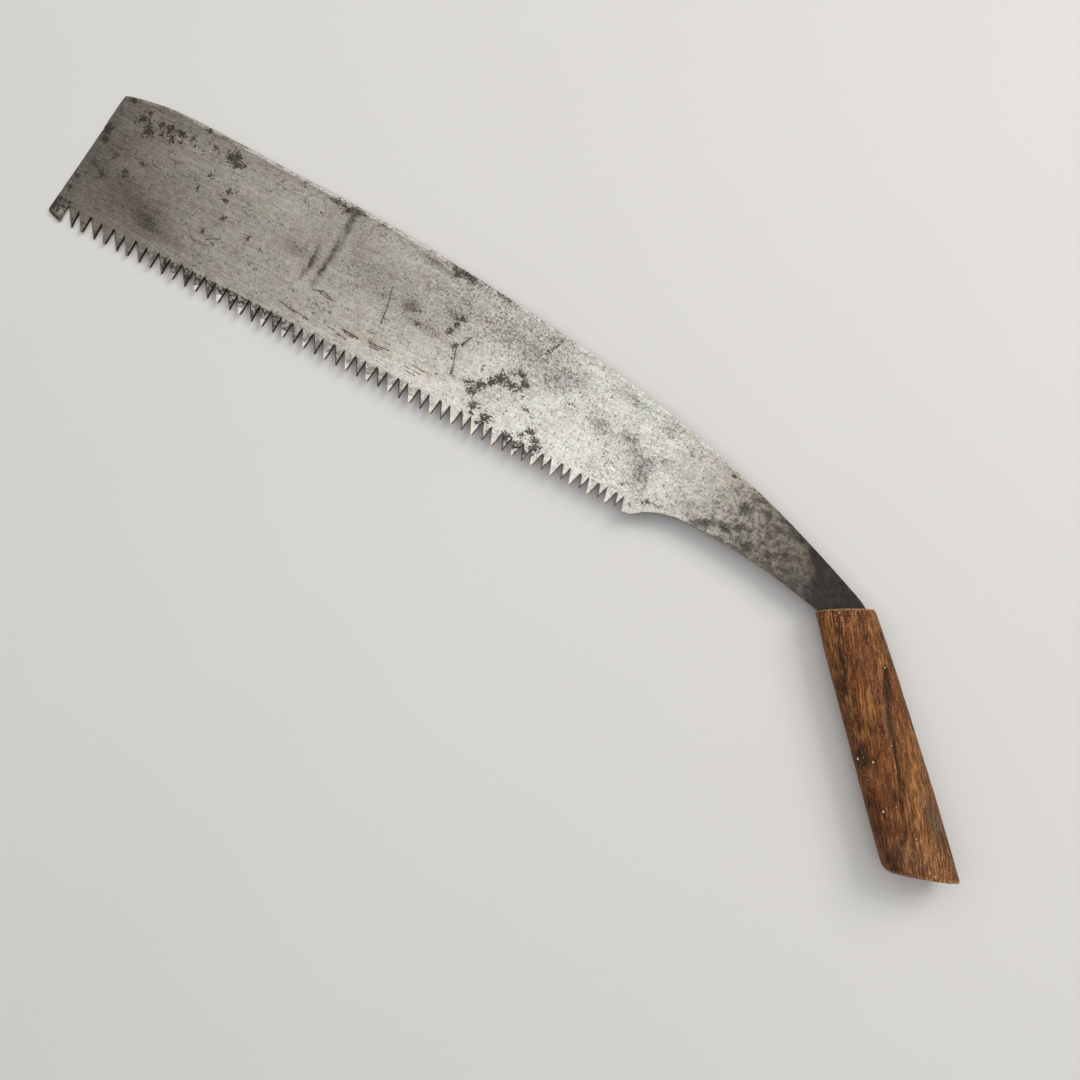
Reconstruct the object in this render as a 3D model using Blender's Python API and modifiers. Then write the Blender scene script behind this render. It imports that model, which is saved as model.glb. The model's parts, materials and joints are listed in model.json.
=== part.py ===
"""Bent-handled forestry pull saw: a forged blade with an integral tang, a one-piece
wooden handle and the thin wedge that locks the tang in its mortise.

Working frame: origin in the handle's mouth, on the blade's mid-plane. +X runs along the
toothed edge from toe to heel, +Y from the teeth to the spine, +Z normal to the blade.
Handle coordinates lie in the same plane: "along" runs from the mouth to the butt, and
"across" runs from the inner (toothed) side to the spine side. The last step moves the
root empty so that the centre of the saw's bounding box becomes the world origin.
"""

import math

import bmesh
import bpy
from mathutils import Vector

MM = 0.001  # all sizes below are in millimetres, scene units are metres

# ----------------------------------------------------------------- toothed edge
TOE_GULLET_X = -637.2     # first gullet, behind the toe block
HEEL_GULLET_X = -166.2    # last gullet, ahead of the heel block
TOE_GULLET_Y, HEEL_GULLET_Y = 0.0, -1.0
TEETH = 53
# Stations along the teeth: tooth index, value
PITCH = ((0, 10.2), (10, 10.3), (20, 9.0), (28, 8.9), (36, 8.5), (44, 7.7), (52, 6.6))
TOOTH_DEPTH = ((0, 13.7), (14, 13.2), (28, 12.6), (36, 12.0), (52, 10.3))
# Heel-side corner of the tip: 0 = level with the toe-side gullet, 1 = with the heel-side one
LEAN = ((0, 1.05), (14, 0.99), (24, 0.95), (31, 0.88), (38, 0.78), (44, 0.66), (52, 0.58))
RAKER_STEP = 0.48         # added to the pitch of odd teeth, taken from even ones
RAKER_FROM_TOOTH = 16     # the step grows from nothing at this tooth
RAKER_RAMP_TEETH = 14     # and is full after this many more
TIP_FLAT = 0.9            # width left on each tip
TOOTH_SET = 0.45          # sideways set of the tips, alternate teeth to alternate sides

# ----------------------------------------------------------------- blade outline: x, y
TOE_BLOCK = ((-636.8, -14.2), (-647.6, -11.2), (-649.5, -9.3))
TIP_END = ((-648.0, 12.0), (-645.6, 46.0), (-643.9, 86.0), (-643.0, 93.0))
# Spine, control stations from the tip end to the handle's mouth
SPINE = (
    (-641.0, 94.6), (-620.0, 98.2), (-590.0, 100.1), (-555.0, 100.6), (-500.0, 98.9),
    (-440.0, 97.0), (-380.0, 93.2), (-320.0, 87.6), (-260.0, 80.5), (-200.0, 71.0),
    (-140.0, 57.8), (-80.0, 40.0), (-40.0, 25.9), (0.0, 10.3),
)
HEEL_BLOCK = ((-163.2, -11.0), (-157.5, -10.6), (-154.5, -8.6))
# Inner side of the heel and neck, control stations from the heel block to the mouth
NECK = (
    (-150.0, -5.0), (-140.0, -0.6), (-127.0, 2.0), (-112.0, 2.5), (-92.0, 1.8),
    (-70.0, 0.0), (-50.0, -2.8), (-32.0, -6.1),
)
INNER_SHOULDER, SPINE_SHOULDER = -19.0, 11.8    # across, where the neck meets the mouth
SPINE_STEPS, NECK_STEPS = 3, 2                  # outline points per control span

# ----------------------------------------------------------------- blade thickness
BLADE_T = 2.4             # plate thickness
NECK_T = 4.0              # forged thickness where the neck enters the handle
TANG_END_T = 2.6
THICKEN_FROM_X = -190.0   # the plate starts to thicken here, towards the neck
NECK_LINES, NECK_LINE_PITCH = 6, 32.0    # mesh lines across the thickening neck
TOOTH_LINE_Y = 12.0       # mesh line along the plate, above the teeth

# ----------------------------------------------------------------- handle
HANDLE_ANGLE = math.radians(-48.06)  # from +X to the handle's axis
# End planes: along = base + slope * across
MOUTH_BASE, MOUTH_SLOPE = -0.2, 0.2263
BUTT_BASE, BUTT_SLOPE = 173.7, 0.3860
# Section stations: along, centre offset, half width, half thickness
SECTIONS = (
    (0.0, -1.9, 18.3, 16.8),
    (18.0, -1.6, 19.4, 17.0),
    (47.0, -1.1, 20.2, 17.2),
    (85.0, -0.4, 20.9, 17.4),
    (123.0, -0.1, 21.7, 17.6),
    (165.0, 0.2, 21.8, 17.8),
    (195.0, 0.2, 21.8, 17.8),
)
# Nominal half widths, used only to find which section a surface point belongs to
MOUTH_REACH = 18.0
BUTT_REACH = SECTIONS[-1][2]
SECTION_POWER = 2.35      # superellipse exponent: a slightly squared oval
MOUTH_ROUND = 2.0
BUTT_ROUND_SPINE, BUTT_ROUND_INNER = 2.2, 7.5
BUTT_ROUND_BLEND = 0.7    # how fast the butt rounding changes across the handle

HANDLE_SEGMENTS = 40
# Rim loops, in degrees: 0 = on the side of the handle, 90 = on the end face
MOUTH_TURNS = (90, 45, 0)
BUTT_TURNS = (0, 30, 60, 90)
BODY_LOOPS = (0.1, 0.22, 0.36, 0.5, 0.64, 0.78, 0.9)    # share of the way to the butt
SHARP_ANGLE = math.radians(35)

# ----------------------------------------------------------------- tang and wedge
# Pairs give "across" of the inner edge and of the spine-side edge
TANG_ROOT = (-15.5, 8.6)
TANG_TIP = (-5.0, 3.2)
TANG_LENGTH = 128.0
TANG_STATIONS = (28.0, 60.0, 95.0)
TANG_CORNER_ALONG, TANG_CORNER_ACROSS = 3.0, 2.5    # corners cut off the tang's end
GAP = 0.3                 # clearance between pieces

WEDGE_ROOT = (-12.0, 5.0)
WEDGE_TIP = (-9.0, 2.5)
WEDGE_END = 62.0          # along
WEDGE_INSET = 0.6         # wedge starts this far inside the mouth
WEDGE_T_MOUTH, WEDGE_T_END = 1.7, 0.6
WEDGE_BEVEL = 0.15

CUTTER_START = -6.0       # cutters start this far outside the mouth
TANG_SLOT_END = TANG_LENGTH + 4.0
WEDGE_SLOT_END = WEDGE_END + 2.0


# ----------------------------------------------------------------- geometry helpers
ALONG_AXIS = Vector((math.cos(HANDLE_ANGLE), math.sin(HANDLE_ANGLE)))
ACROSS_AXIS = Vector((-ALONG_AXIS.y, ALONG_AXIS.x))


def from_handle(along, across):
    """Working-frame x, y of a point given in handle coordinates."""
    return ALONG_AXIS * along + ACROSS_AXIS * across


def mouth_along(across):
    return MOUTH_BASE + MOUTH_SLOPE * across


def butt_along(across):
    return BUTT_BASE + BUTT_SLOPE * across


def lerp(start, end, share):
    return start + (end - start) * share


def lerp_each(starts, ends, share):
    return tuple(lerp(start, end, share) for start, end in zip(starts, ends))


def smooth(share):
    share = min(1.0, max(0.0, share))
    return share * share * (3.0 - 2.0 * share)


def station(table, place):
    """Values of a station table at a place, interpolated linearly and held at the ends."""
    if place <= table[0][0]:
        return table[0][1:]
    for low, high in zip(table, table[1:]):
        if place <= high[0]:
            return lerp_each(low[1:], high[1:], (place - low[0]) / (high[0] - low[0]))
    return table[-1][1:]


def spline(controls, steps):
    """Catmull-Rom through the control points, with the given steps per span."""
    controls = [Vector(point) for point in controls]
    controls = ([controls[0] * 2 - controls[1]] + controls
                + [controls[-1] * 2 - controls[-2]])
    curve = []
    for i in range(1, len(controls) - 2):
        before, start, end, after = controls[i - 1:i + 3]
        for k in range(steps):
            f = k / steps
            curve.append(0.5 * (2 * start + (end - before) * f
                                + (2 * before - 5 * start + 4 * end - after) * f * f
                                + (3 * start - before - 3 * end + after) * f ** 3))
    curve.append(controls[-2])
    return curve


# ----------------------------------------------------------------- scene helpers
def add_collection(name, hidden=False):
    made = bpy.data.collections.new(name)
    bpy.context.scene.collection.children.link(made)
    made.hide_render = hidden
    return made


def add_material(name, colour, roughness, metallic):
    made = bpy.data.materials.new(name)
    made.use_nodes = True
    shader = made.node_tree.nodes["Principled BSDF"]
    shader.inputs["Base Color"].default_value = (*colour, 1.0)
    shader.inputs["Roughness"].default_value = roughness
    shader.inputs["Metallic"].default_value = metallic
    made.diffuse_color = (*colour, 1.0)
    return made


def add_piece(name, shape, where, root, surface=None):
    """Turns a bmesh into an object under the root, and frees the bmesh."""
    bmesh.ops.recalc_face_normals(shape, faces=shape.faces)
    mesh = bpy.data.meshes.new(name)
    shape.to_mesh(mesh)
    shape.free()
    piece = bpy.data.objects.new(name, mesh)
    where.objects.link(piece)
    piece.parent = root
    if surface:
        mesh.materials.append(surface)
    return piece


def outline_mesh(name, points):
    """A closed flat outline, drawn as a 2D curve and turned into a mesh of its edges."""
    curve = bpy.data.curves.new(name, "CURVE")
    curve.dimensions = "2D"
    curve.fill_mode = "NONE"
    drawn = curve.splines.new("POLY")
    drawn.points.add(len(points) - 1)
    for point, (x, y) in zip(drawn.points, points):
        point.co = (x * MM, y * MM, 0.0, 1.0)
    drawn.use_cyclic_u = True
    guide = bpy.data.objects.new(name, curve)
    bpy.context.scene.collection.objects.link(guide)
    bpy.context.view_layer.update()
    mesh = bpy.data.meshes.new_from_object(
        guide.evaluated_get(bpy.context.evaluated_depsgraph_get()))
    bpy.data.objects.remove(guide)
    bpy.data.curves.remove(curve)
    return mesh


# ----------------------------------------------------------------- teeth
def gullet_point(x):
    """Point of the straight gullet line at x."""
    share = (x - TOE_GULLET_X) / (HEEL_GULLET_X - TOE_GULLET_X)
    return x, lerp(TOE_GULLET_Y, HEEL_GULLET_Y, share)


def gullet_places():
    """X of every gullet, from toe to heel, with the pitches scaled to fill the edge."""
    pitches = []
    for i in range(TEETH):
        ramp = min(1.0, max(0.0, (i - RAKER_FROM_TOOTH) / RAKER_RAMP_TEETH))
        wider = RAKER_STEP * ramp
        pitches.append(station(PITCH, i)[0] + (wider if i % 2 else -wider))
    scale = (HEEL_GULLET_X - TOE_GULLET_X) / sum(pitches)
    places = [TOE_GULLET_X]
    for pitch in pitches:
        places.append(places[-1] + pitch * scale)
    return places


def tooth_tip(i, toe_side, heel_side):
    """The two corners of tooth i's narrow tip, between gullets at the two given x."""
    x = lerp(toe_side, heel_side, station(LEAN, i)[0])
    y = gullet_point(x)[1] - station(TOOTH_DEPTH, i)[0]
    return (x - TIP_FLAT, y), (x, y)


# ----------------------------------------------------------------- tang
def tang_edges(along):
    return lerp_each(TANG_ROOT, TANG_TIP, along / TANG_LENGTH)


def tang_thickness(along):
    return lerp(NECK_T, TANG_END_T, along / TANG_LENGTH)


def mouth_point(across):
    """Point of the blade just clear of the handle's mouth."""
    return from_handle(mouth_along(across) - GAP, across)


def tang_side(side, corner):
    """One edge of the tang from the mouth to its end: side 0 is inner, 1 spine side."""
    stations = (*TANG_STATIONS, TANG_LENGTH - TANG_CORNER_ALONG)
    return [
        mouth_point(TANG_ROOT[side]),
        *(from_handle(along, tang_edges(along)[side]) for along in stations),
        from_handle(TANG_LENGTH, TANG_TIP[side] + corner),
    ]


# ----------------------------------------------------------------- blade
def blade_outline(gullets, tips):
    """Outline of the blade, anticlockwise seen from +Z, starting at the toe block."""
    points = list(reversed(TOE_BLOCK))
    for gullet, tip in zip(gullets, tips):
        points.extend((gullet, *tip))
    points.append(gullets[-1])
    points.extend(HEEL_BLOCK)
    points.extend(spline(NECK + (mouth_point(INNER_SHOULDER),), NECK_STEPS))
    points.extend(tang_side(0, TANG_CORNER_ACROSS))
    points.extend(reversed(tang_side(1, -TANG_CORNER_ACROSS)))
    points.extend(reversed(spline(SPINE + (mouth_point(SPINE_SHOULDER),), SPINE_STEPS)))
    points.extend(reversed(TIP_END))
    return points


def flat_blade(points):
    """The outline filled with one face that looks to +Z."""
    plate = bmesh.new()
    outline = outline_mesh("blade_outline", points)
    plate.from_mesh(outline)
    bpy.data.meshes.remove(outline)
    bmesh.ops.remove_doubles(plate, verts=plate.verts, dist=1e-6)
    bmesh.ops.contextual_create(plate, geom=plate.edges[:])
    bmesh.ops.recalc_face_normals(plate, faces=plate.faces)
    if plate.faces[0].normal.z < 0:
        bmesh.ops.reverse_faces(plate, faces=plate.faces)
    return plate


def nearest_vert(plate, point):
    x, y = point
    spot = Vector((x * MM, y * MM, 0.0))
    return min(plate.verts, key=lambda vert: (vert.co - spot).length_squared)


def split_off_teeth(plate, roots):
    """Makes each tooth a face of its own, so that it can be set sideways."""
    for start, end in zip(roots, roots[1:]):
        shared = [face for face in start.link_faces if face in end.link_faces]
        body = max(shared, key=lambda face: len(face.verts))
        bmesh.utils.face_split(body, start, end)


def cut_line(plate, point, normal, geom=None):
    """Cuts a mesh line through the given geometry, or through the whole plate."""
    geom = geom or plate.verts[:] + plate.edges[:] + plate.faces[:]
    bmesh.ops.bisect_plane(plate, geom=geom, dist=1e-6,
                           plane_co=Vector(point) * MM, plane_no=Vector(normal))


def cut_plate(plate):
    """Mesh lines across the neck and tang where the forging thickens, and above the teeth."""
    for i in range(NECK_LINES):
        cut_line(plate, (THICKEN_FROM_X + i * NECK_LINE_PITCH, 0, 0), (1, 0, 0))
    for along in TANG_STATIONS:
        cut_line(plate, (*from_handle(along, 0), 0), (*ALONG_AXIS, 0))
    even = [face for face in plate.faces
            if face.calc_center_median().x < THICKEN_FROM_X * MM]
    border = {edge for face in even for edge in face.edges}
    border |= {vert for face in even for vert in face.verts}
    cut_line(plate, (0, TOOTH_LINE_Y, 0), (0, 1, 0), geom=list(border) + even)


def blade_thickness(x, y):
    """Flat plate, thickening along the neck, then tapering down the tang."""
    along = Vector((x, y)).dot(ALONG_AXIS)
    if along > 0:
        return tang_thickness(along)
    return lerp(BLADE_T, NECK_T, smooth((x - THICKEN_FROM_X) / -THICKEN_FROM_X))


def thicken(plate):
    """Makes the plate solid, evenly to both sides of its mid-plane."""
    made = bmesh.ops.extrude_face_region(plate, geom=plate.faces[:])
    upper = {item for item in made["geom"] if isinstance(item, bmesh.types.BMVert)}
    for vert in plate.verts:
        half = 0.5 * blade_thickness(vert.co.x / MM, vert.co.y / MM) * MM
        vert.co.z = half if vert in upper else -half


def spot_key(vert):
    return round(vert.co.x, 7), round(vert.co.y, 7)


def set_teeth(plate, tip_verts):
    """Shifts both faces of each tip: odd teeth to +Z, even teeth to -Z."""
    shifts = {}
    for i, pair in enumerate(tip_verts):
        for vert in pair:
            shifts[spot_key(vert)] = TOOTH_SET * (1 if i % 2 else -1)
    for vert in plate.verts:
        shift = shifts.get(spot_key(vert))
        if shift is not None:
            vert.co.z += shift * MM


def make_blade(where, root, surface):
    places = gullet_places()
    gullets = [gullet_point(x) for x in places]
    tips = [tooth_tip(i, *places[i:i + 2]) for i in range(TEETH)]
    plate = flat_blade(blade_outline(gullets, tips))
    roots = [nearest_vert(plate, gullet) for gullet in gullets]
    tip_verts = [[nearest_vert(plate, corner) for corner in tip] for tip in tips]
    split_off_teeth(plate, roots)
    cut_plate(plate)
    thicken(plate)
    set_teeth(plate, tip_verts)
    bmesh.ops.triangulate(plate, faces=[face for face in plate.faces if len(face.verts) > 3])
    return add_piece("blade", plate, where, root, surface)


# ----------------------------------------------------------------- mortise and wedge
def tapered_bar(mouth_offset, mouth_section, end, end_section):
    """A bar from a plane parallel to the mouth's, offset along the handle, to a square end.

    A section holds the two edges (across) and the two faces (z).
    """
    bar = bmesh.new()
    for vert in bmesh.ops.create_cube(bar, size=1.0)["verts"]:
        at_mouth = vert.co.x < 0
        edges, faces = mouth_section if at_mouth else end_section
        across = edges[0 if vert.co.y < 0 else 1]
        z = faces[0 if vert.co.z < 0 else 1]
        along = mouth_along(across) + mouth_offset if at_mouth else end
        vert.co = Vector((*from_handle(along, across), z)) * MM
    return bar


def tang_slot_section(along):
    inner, outer = tang_edges(along)
    half = 0.5 * tang_thickness(along) + GAP
    return (inner - GAP, outer + GAP), (-half, half)


def wedge_slot_section(along):
    share = along / WEDGE_END
    inner, outer = lerp_each(WEDGE_ROOT, WEDGE_TIP, share)
    wedge_t = lerp(WEDGE_T_MOUTH, WEDGE_T_END, share)
    low = -(0.5 * tang_thickness(along) + 2 * GAP + wedge_t)
    return (inner - GAP, outer + GAP), (low, 0.0)


def make_cutters(where, root):
    """The mortise: a tapered slot round the tang, and a shorter one for the wedge."""
    cutters = []
    for name, section, end in (("tang_mortise", tang_slot_section, TANG_SLOT_END),
                               ("wedge_mortise", wedge_slot_section, WEDGE_SLOT_END)):
        bar = tapered_bar(CUTTER_START, section(CUTTER_START), end, section(end))
        cutter = add_piece(name, bar, where, root)
        cutter.hide_render = True
        cutter.display_type = "WIRE"
        cutters.append(cutter)
    return cutters


def make_wedge(where, root, surface):
    """The thin wedge driven from the mouth, between the tang's -Z face and the wood."""
    def section(along, edges, thickness):
        top = -(0.5 * tang_thickness(along) + GAP)
        return edges, (top - thickness, top)

    bar = tapered_bar(WEDGE_INSET, section(WEDGE_INSET, WEDGE_ROOT, WEDGE_T_MOUTH),
                      WEDGE_END, section(WEDGE_END, WEDGE_TIP, WEDGE_T_END))
    wedge = add_piece("tang_wedge", bar, where, root, surface)
    ease = wedge.modifiers.new("eased_edges", "BEVEL")
    ease.width = WEDGE_BEVEL * MM
    ease.segments = 1
    return wedge


# ----------------------------------------------------------------- handle
def squared(value):
    """Sine or cosine of a circle turned into that of the superellipse."""
    return math.copysign(abs(value) ** (2.0 / SECTION_POWER), value)


def handle_point(angle, share, end=None, turn=0.0):
    """Point of the handle's surface: angle is taken round the section, and share runs
    from the mouth (0) to the butt (1). At an end, turn runs from 0 (on the side) to
    90 degrees (on the end face) round the eased rim."""
    side = squared(math.cos(angle))
    centre, half_width, half_thickness = station(
        SECTIONS, lerp(mouth_along(side * MOUTH_REACH), butt_along(side * BUTT_REACH), share))
    radius = 0.0
    if end == "mouth":
        radius = MOUTH_ROUND
    elif end == "butt":
        radius = lerp(BUTT_ROUND_INNER, BUTT_ROUND_SPINE,
                      smooth(0.5 + BUTT_ROUND_BLEND * side))
    inset = radius * (1 - math.cos(math.radians(turn)))
    setback = radius * (1 - math.sin(math.radians(turn)))
    across = centre + side * (half_width - inset)
    z = squared(math.sin(angle)) * (half_thickness - inset)
    along = lerp(mouth_along(across), butt_along(across), share)
    along += -setback if end == "butt" else setback
    return (*from_handle(along, across), z)


def make_handle(where, root, surface, cutters):
    stations = [(0.0, "mouth", turn) for turn in MOUTH_TURNS]
    stations += [(share, None, 0) for share in BODY_LOOPS]
    stations += [(1.0, "butt", turn) for turn in BUTT_TURNS]
    skin = bmesh.new()
    loops = []
    for share, end, turn in stations:
        ring = bmesh.ops.create_circle(
            skin, cap_ends=False, segments=HANDLE_SEGMENTS, radius=1.0)["verts"]
        for vert in ring:
            angle = math.atan2(vert.co.y, vert.co.x)
            vert.co = Vector(handle_point(angle, share, end, turn)) * MM
        loops.append(list({edge for vert in ring for edge in vert.link_edges}))
    for near, far in zip(loops, loops[1:]):
        bmesh.ops.bridge_loops(skin, edges=near + far)
    for rim in (loops[0], loops[-1]):
        bmesh.ops.contextual_create(skin, geom=rim)
    handle = add_piece("handle", skin, where, root, surface)
    handle.data.shade_smooth()
    handle.data.set_sharp_from_angle(angle=SHARP_ANGLE)
    for cutter in cutters:
        cut = handle.modifiers.new(cutter.name, "BOOLEAN")
        cut.operation = "DIFFERENCE"
        cut.solver = "EXACT"
        cut.object = cutter
    return handle


# ----------------------------------------------------------------- assembly
def centre_on_bounds(root, pieces):
    """Moves the root so that the middle of the saw's bounding box is the world origin."""
    bpy.context.view_layer.update()
    graph = bpy.context.evaluated_depsgraph_get()
    low, high = Vector((1e9,) * 3), Vector((-1e9,) * 3)
    for piece in pieces:
        evaluated = piece.evaluated_get(graph)
        for vert in evaluated.to_mesh().vertices:
            place = evaluated.matrix_world @ vert.co
            low = Vector(map(min, low, place))
            high = Vector(map(max, high, place))
        evaluated.to_mesh_clear()
    root.location = -(low + high) / 2
    bpy.context.view_layer.update()


def main():
    for old in list(bpy.data.objects):
        bpy.data.objects.remove(old)
    parts = add_collection("pull_saw")
    helpers = add_collection("pull_saw_cutters", hidden=True)
    root = bpy.data.objects.new("saw_root", None)
    parts.objects.link(root)
    steel = add_material("forged_steel", colour=(0.30, 0.29, 0.27),
                         roughness=0.48, metallic=1.0)
    hardwood = add_material("weathered_hardwood", colour=(0.24, 0.13, 0.07),
                            roughness=0.72, metallic=0.0)
    pale_wood = add_material("wedge_wood", colour=(0.42, 0.28, 0.16),
                             roughness=0.75, metallic=0.0)
    blade = make_blade(parts, root, steel)
    cutters = make_cutters(helpers, root)
    handle = make_handle(parts, root, hardwood, cutters)
    wedge = make_wedge(parts, root, pale_wood)
    centre_on_bounds(root, (blade, handle, wedge))


main()
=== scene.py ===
"""Looks of a bent-handled pull saw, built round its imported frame.

Design coordinates are in millimetres: the origin is the middle of the handle's mouth on
the blade's mid-plane, +X runs from toe to heel along the teeth, +Y from teeth to spine
and +Z off the blade. ORIGIN places them in the frame. The handle has its own pair: the
distance along it from the mouth, and the distance across it, positive on the spine's side."""
import json
import math

import bpy
import numpy as np
from mathutils import Matrix, Vector
from mathutils.geometry import delaunay_2d_cdt
from mathutils.kdtree import KDTree


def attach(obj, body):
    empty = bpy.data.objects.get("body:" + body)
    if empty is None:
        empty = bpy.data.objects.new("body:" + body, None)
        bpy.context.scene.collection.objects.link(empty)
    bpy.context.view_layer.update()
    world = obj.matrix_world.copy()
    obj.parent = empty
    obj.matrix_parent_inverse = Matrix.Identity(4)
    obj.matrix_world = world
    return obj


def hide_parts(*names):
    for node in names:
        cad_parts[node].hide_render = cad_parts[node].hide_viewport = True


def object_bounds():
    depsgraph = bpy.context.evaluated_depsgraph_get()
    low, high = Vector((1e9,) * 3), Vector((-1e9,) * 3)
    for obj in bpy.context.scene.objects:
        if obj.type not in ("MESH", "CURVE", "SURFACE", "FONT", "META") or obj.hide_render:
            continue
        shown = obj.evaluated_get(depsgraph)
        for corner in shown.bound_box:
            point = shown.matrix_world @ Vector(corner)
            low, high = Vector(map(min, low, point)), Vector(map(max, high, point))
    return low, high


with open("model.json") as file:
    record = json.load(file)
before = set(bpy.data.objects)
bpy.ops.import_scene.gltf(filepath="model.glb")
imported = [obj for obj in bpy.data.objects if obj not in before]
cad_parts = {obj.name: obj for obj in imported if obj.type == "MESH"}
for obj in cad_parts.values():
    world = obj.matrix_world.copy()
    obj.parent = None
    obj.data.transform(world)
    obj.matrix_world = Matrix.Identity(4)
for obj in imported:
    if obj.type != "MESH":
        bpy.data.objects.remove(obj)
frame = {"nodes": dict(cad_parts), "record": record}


def rows(text):
    """A table of numbers: commas part its rows, spaces part its columns."""
    return np.array([row.split() for row in text.split(",")], float)


CAD_BOX = [[float(c) for c in corner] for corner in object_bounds()]
MM = 0.001
RNG = np.random.default_rng(1620)

UPPER_MOUNT = (-430.0, 52.0)      # the blade_upper_face mount in design coordinates
mount = next(m for m in frame["record"]["mounts"] if m["name"] == "blade_upper_face")
ORIGIN = np.array([mount["pos_m"][0] / MM - UPPER_MOUNT[0],
                   mount["pos_m"][1] / MM - UPPER_MOUNT[1], 0.0])

# ------------------------------------------------------------------ dimensions
# Teeth are numbered from the toe. These tables hold a tooth's number and a value.
TOE_GULLET_X, HEEL_GULLET_X, TEETH = -637.2, -166.2, 53
PITCH = rows("0 10.2, 10 10.3, 20 9, 28 8.9, 36 8.5, 44 7.7, 52 6.6")
TOOTH_DEPTH = rows("0 13.7, 14 13.2, 28 12.6, 36 12, 52 10.3")
LEAN = rows("0 1.05, 14 0.99, 24 0.95, 31 0.88, 38 0.78, 44 0.66, 52 0.58")  # share of pitch
PITCH_SWING = 0.48                # odd teeth gain this pitch and even ones lose it
FIRST_GULLETS_SHIFT = (0.9, 0.8, 0.5, 0.3)
TIP_FLAT = 0.9
TOOTH_SET = 0.5
FACET = 1.35                      # width of the filed bevel on each tooth's toe side
# Outline points of the blade: x, y.
TOE_BLOCK = rows("-637.8 -13.8, -648.7 -10.9, -650.5 -8.8")
TIP_END = rows("-648.9 12, -646.5 46, -644.8 86, -644.1 92.7")
SPINE = rows("""-643.4 94.4, -634.4 96.5, -620 98.9, -606 100.7, -590 101.1, -555 100.7,
    -500 98.7, -440 97, -380 93.3, -320 87.7, -260 80.6, -200 71.1, -140 58.3, -80 41.2,
    -40 27.3, 0 11.5""")
HEEL_BLOCK = rows("-163.2 -11, -157.5 -10.6, -154.5 -8.6")
NECK = rows("""-150 -5, -140 -0.6, -127 2, -112 2.5, -92 1.8, -70 0, -50 -2.8, -32 -6.1""")
BLADE_T, NECK_T, TANG_END_T, THICKEN_FROM_X = 2.4, 4.0, 2.6, -190.0
# The handle's ends slope: place along = at the middle + slope * place across.
HANDLE_ANGLE = math.radians(-48.06)
ALONG = np.array([math.cos(HANDLE_ANGLE), math.sin(HANDLE_ANGLE)])
ACROSS = np.array([-ALONG[1], ALONG[0]])
MOUTH_AT, MOUTH_SLOPE, MOUTH_HALF_WIDTH = -0.2, 0.2263, 18.5
BUTT_AT, BUTT_SLOPE, BUTT_HALF_WIDTH = 173.7, 0.3860, 21.8
# The handle's stations: along, centre's place across, half width, half thickness.
SECTIONS = rows("""0 -1.9 18.3 16.8, 18 -1.6 19.4 17, 47 -1.1 20.2 17.2, 85 -0.4 20.9 17.4,
    123 -0.1 21.7 17.6, 165 0.2 21.8 17.8, 195 0.2 21.8 17.8""")
SECTION_POWER = 2.35
# Pairs of places across: inner edge, outer edge.
TANG_ROOT, TANG_TIP, TANG_LENGTH, GAP = (-15.5, 8.6), (-5.0, 3.2), 128.0, 0.3
WEDGE_LENGTH, WEDGE_ROOT, WEDGE_TIP = 62.0, (-12.0, 5.0), (-9.0, 2.5)
WEDGE_T_MOUTH, WEDGE_T_END = 1.7, 0.6


# ------------------------------------------------------------------ shared helpers
def lerp(a, b, share):
    return a + (b - a) * share


def smooth(share):
    share = np.clip(share, 0.0, 1.0)
    return share * share * (3.0 - 2.0 * share)


def profile(stations, at):
    """A two-column table of stations, interpolated."""
    return np.interp(at, stations[:, 0], stations[:, 1])


def from_handle(along, across):
    return np.stack([ALONG[0] * along + ACROSS[0] * across,
                     ALONG[1] * along + ACROSS[1] * across], -1)


def along_handle(x, y):
    return x * ALONG[0] + y * ALONG[1]


def gullet_y(x):
    return lerp(0.0, -1.0, (x - TOE_GULLET_X) / (HEEL_GULLET_X - TOE_GULLET_X))


def mouth_at(across):
    return MOUTH_AT + MOUTH_SLOPE * across


def butt_at(across):
    return BUTT_AT + BUTT_SLOPE * across


def value_noise(points, seed):
    """Smooth noise from -1 to 1, one unit to a cell, at (n, 3) points."""
    cell = np.floor(points).astype(np.int64)
    share = points - cell
    share = share * share * (3 - 2 * share)

    def corner(dx, dy, dz):
        mixed = ((cell[:, 0] + dx) * 374761393 + (cell[:, 1] + dy) * 668265263
                 + (cell[:, 2] + dz) * 1440662683 + seed * 1274126177) & 0xFFFFFFFF
        mixed = ((mixed ^ (mixed >> 13)) * 1103515245) & 0xFFFFFFFF
        mixed = ((mixed ^ (mixed >> 15)) * 461845907) & 0xFFFFFFFF
        return ((mixed ^ (mixed >> 16)) & 0xFFFF) / 32767.5 - 1.0

    def row(dy, dz):
        return lerp(corner(0, dy, dz), corner(1, dy, dz), share[:, 0])

    return lerp(lerp(row(0, 0), row(1, 0), share[:, 1]),
                lerp(row(0, 1), row(1, 1), share[:, 1]), share[:, 2])


def fbm(x, y, z, size, seed, layers=3):
    """Layered noise with features of about `size` mm, from -1 to 1."""
    x, y, z = np.broadcast_arrays(*(np.asarray(c, float) for c in (x, y, z)))
    points = np.stack([x, y, z], -1).reshape(-1, 3) / size
    total, amount, scale = 0.0, 0.55, 1.0
    for k in range(layers):
        total = total + amount * value_noise(points * scale + 17.3 * k, seed + k)
        amount *= 0.5
        scale *= 2.03
    return total.reshape(x.shape)


def blob(x, y, at_x, at_y, radius_x, radius_y, turn=0.0):
    """1 at the centre, falling smoothly to 0 past the radii; turn in degrees."""
    cos, sin = math.cos(math.radians(turn)), math.sin(math.radians(turn))
    dx, dy = x - at_x, y - at_y
    a, b = (dx * cos + dy * sin) / radius_x, (-dx * sin + dy * cos) / radius_y
    return np.exp(-(a * a + b * b))


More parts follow.
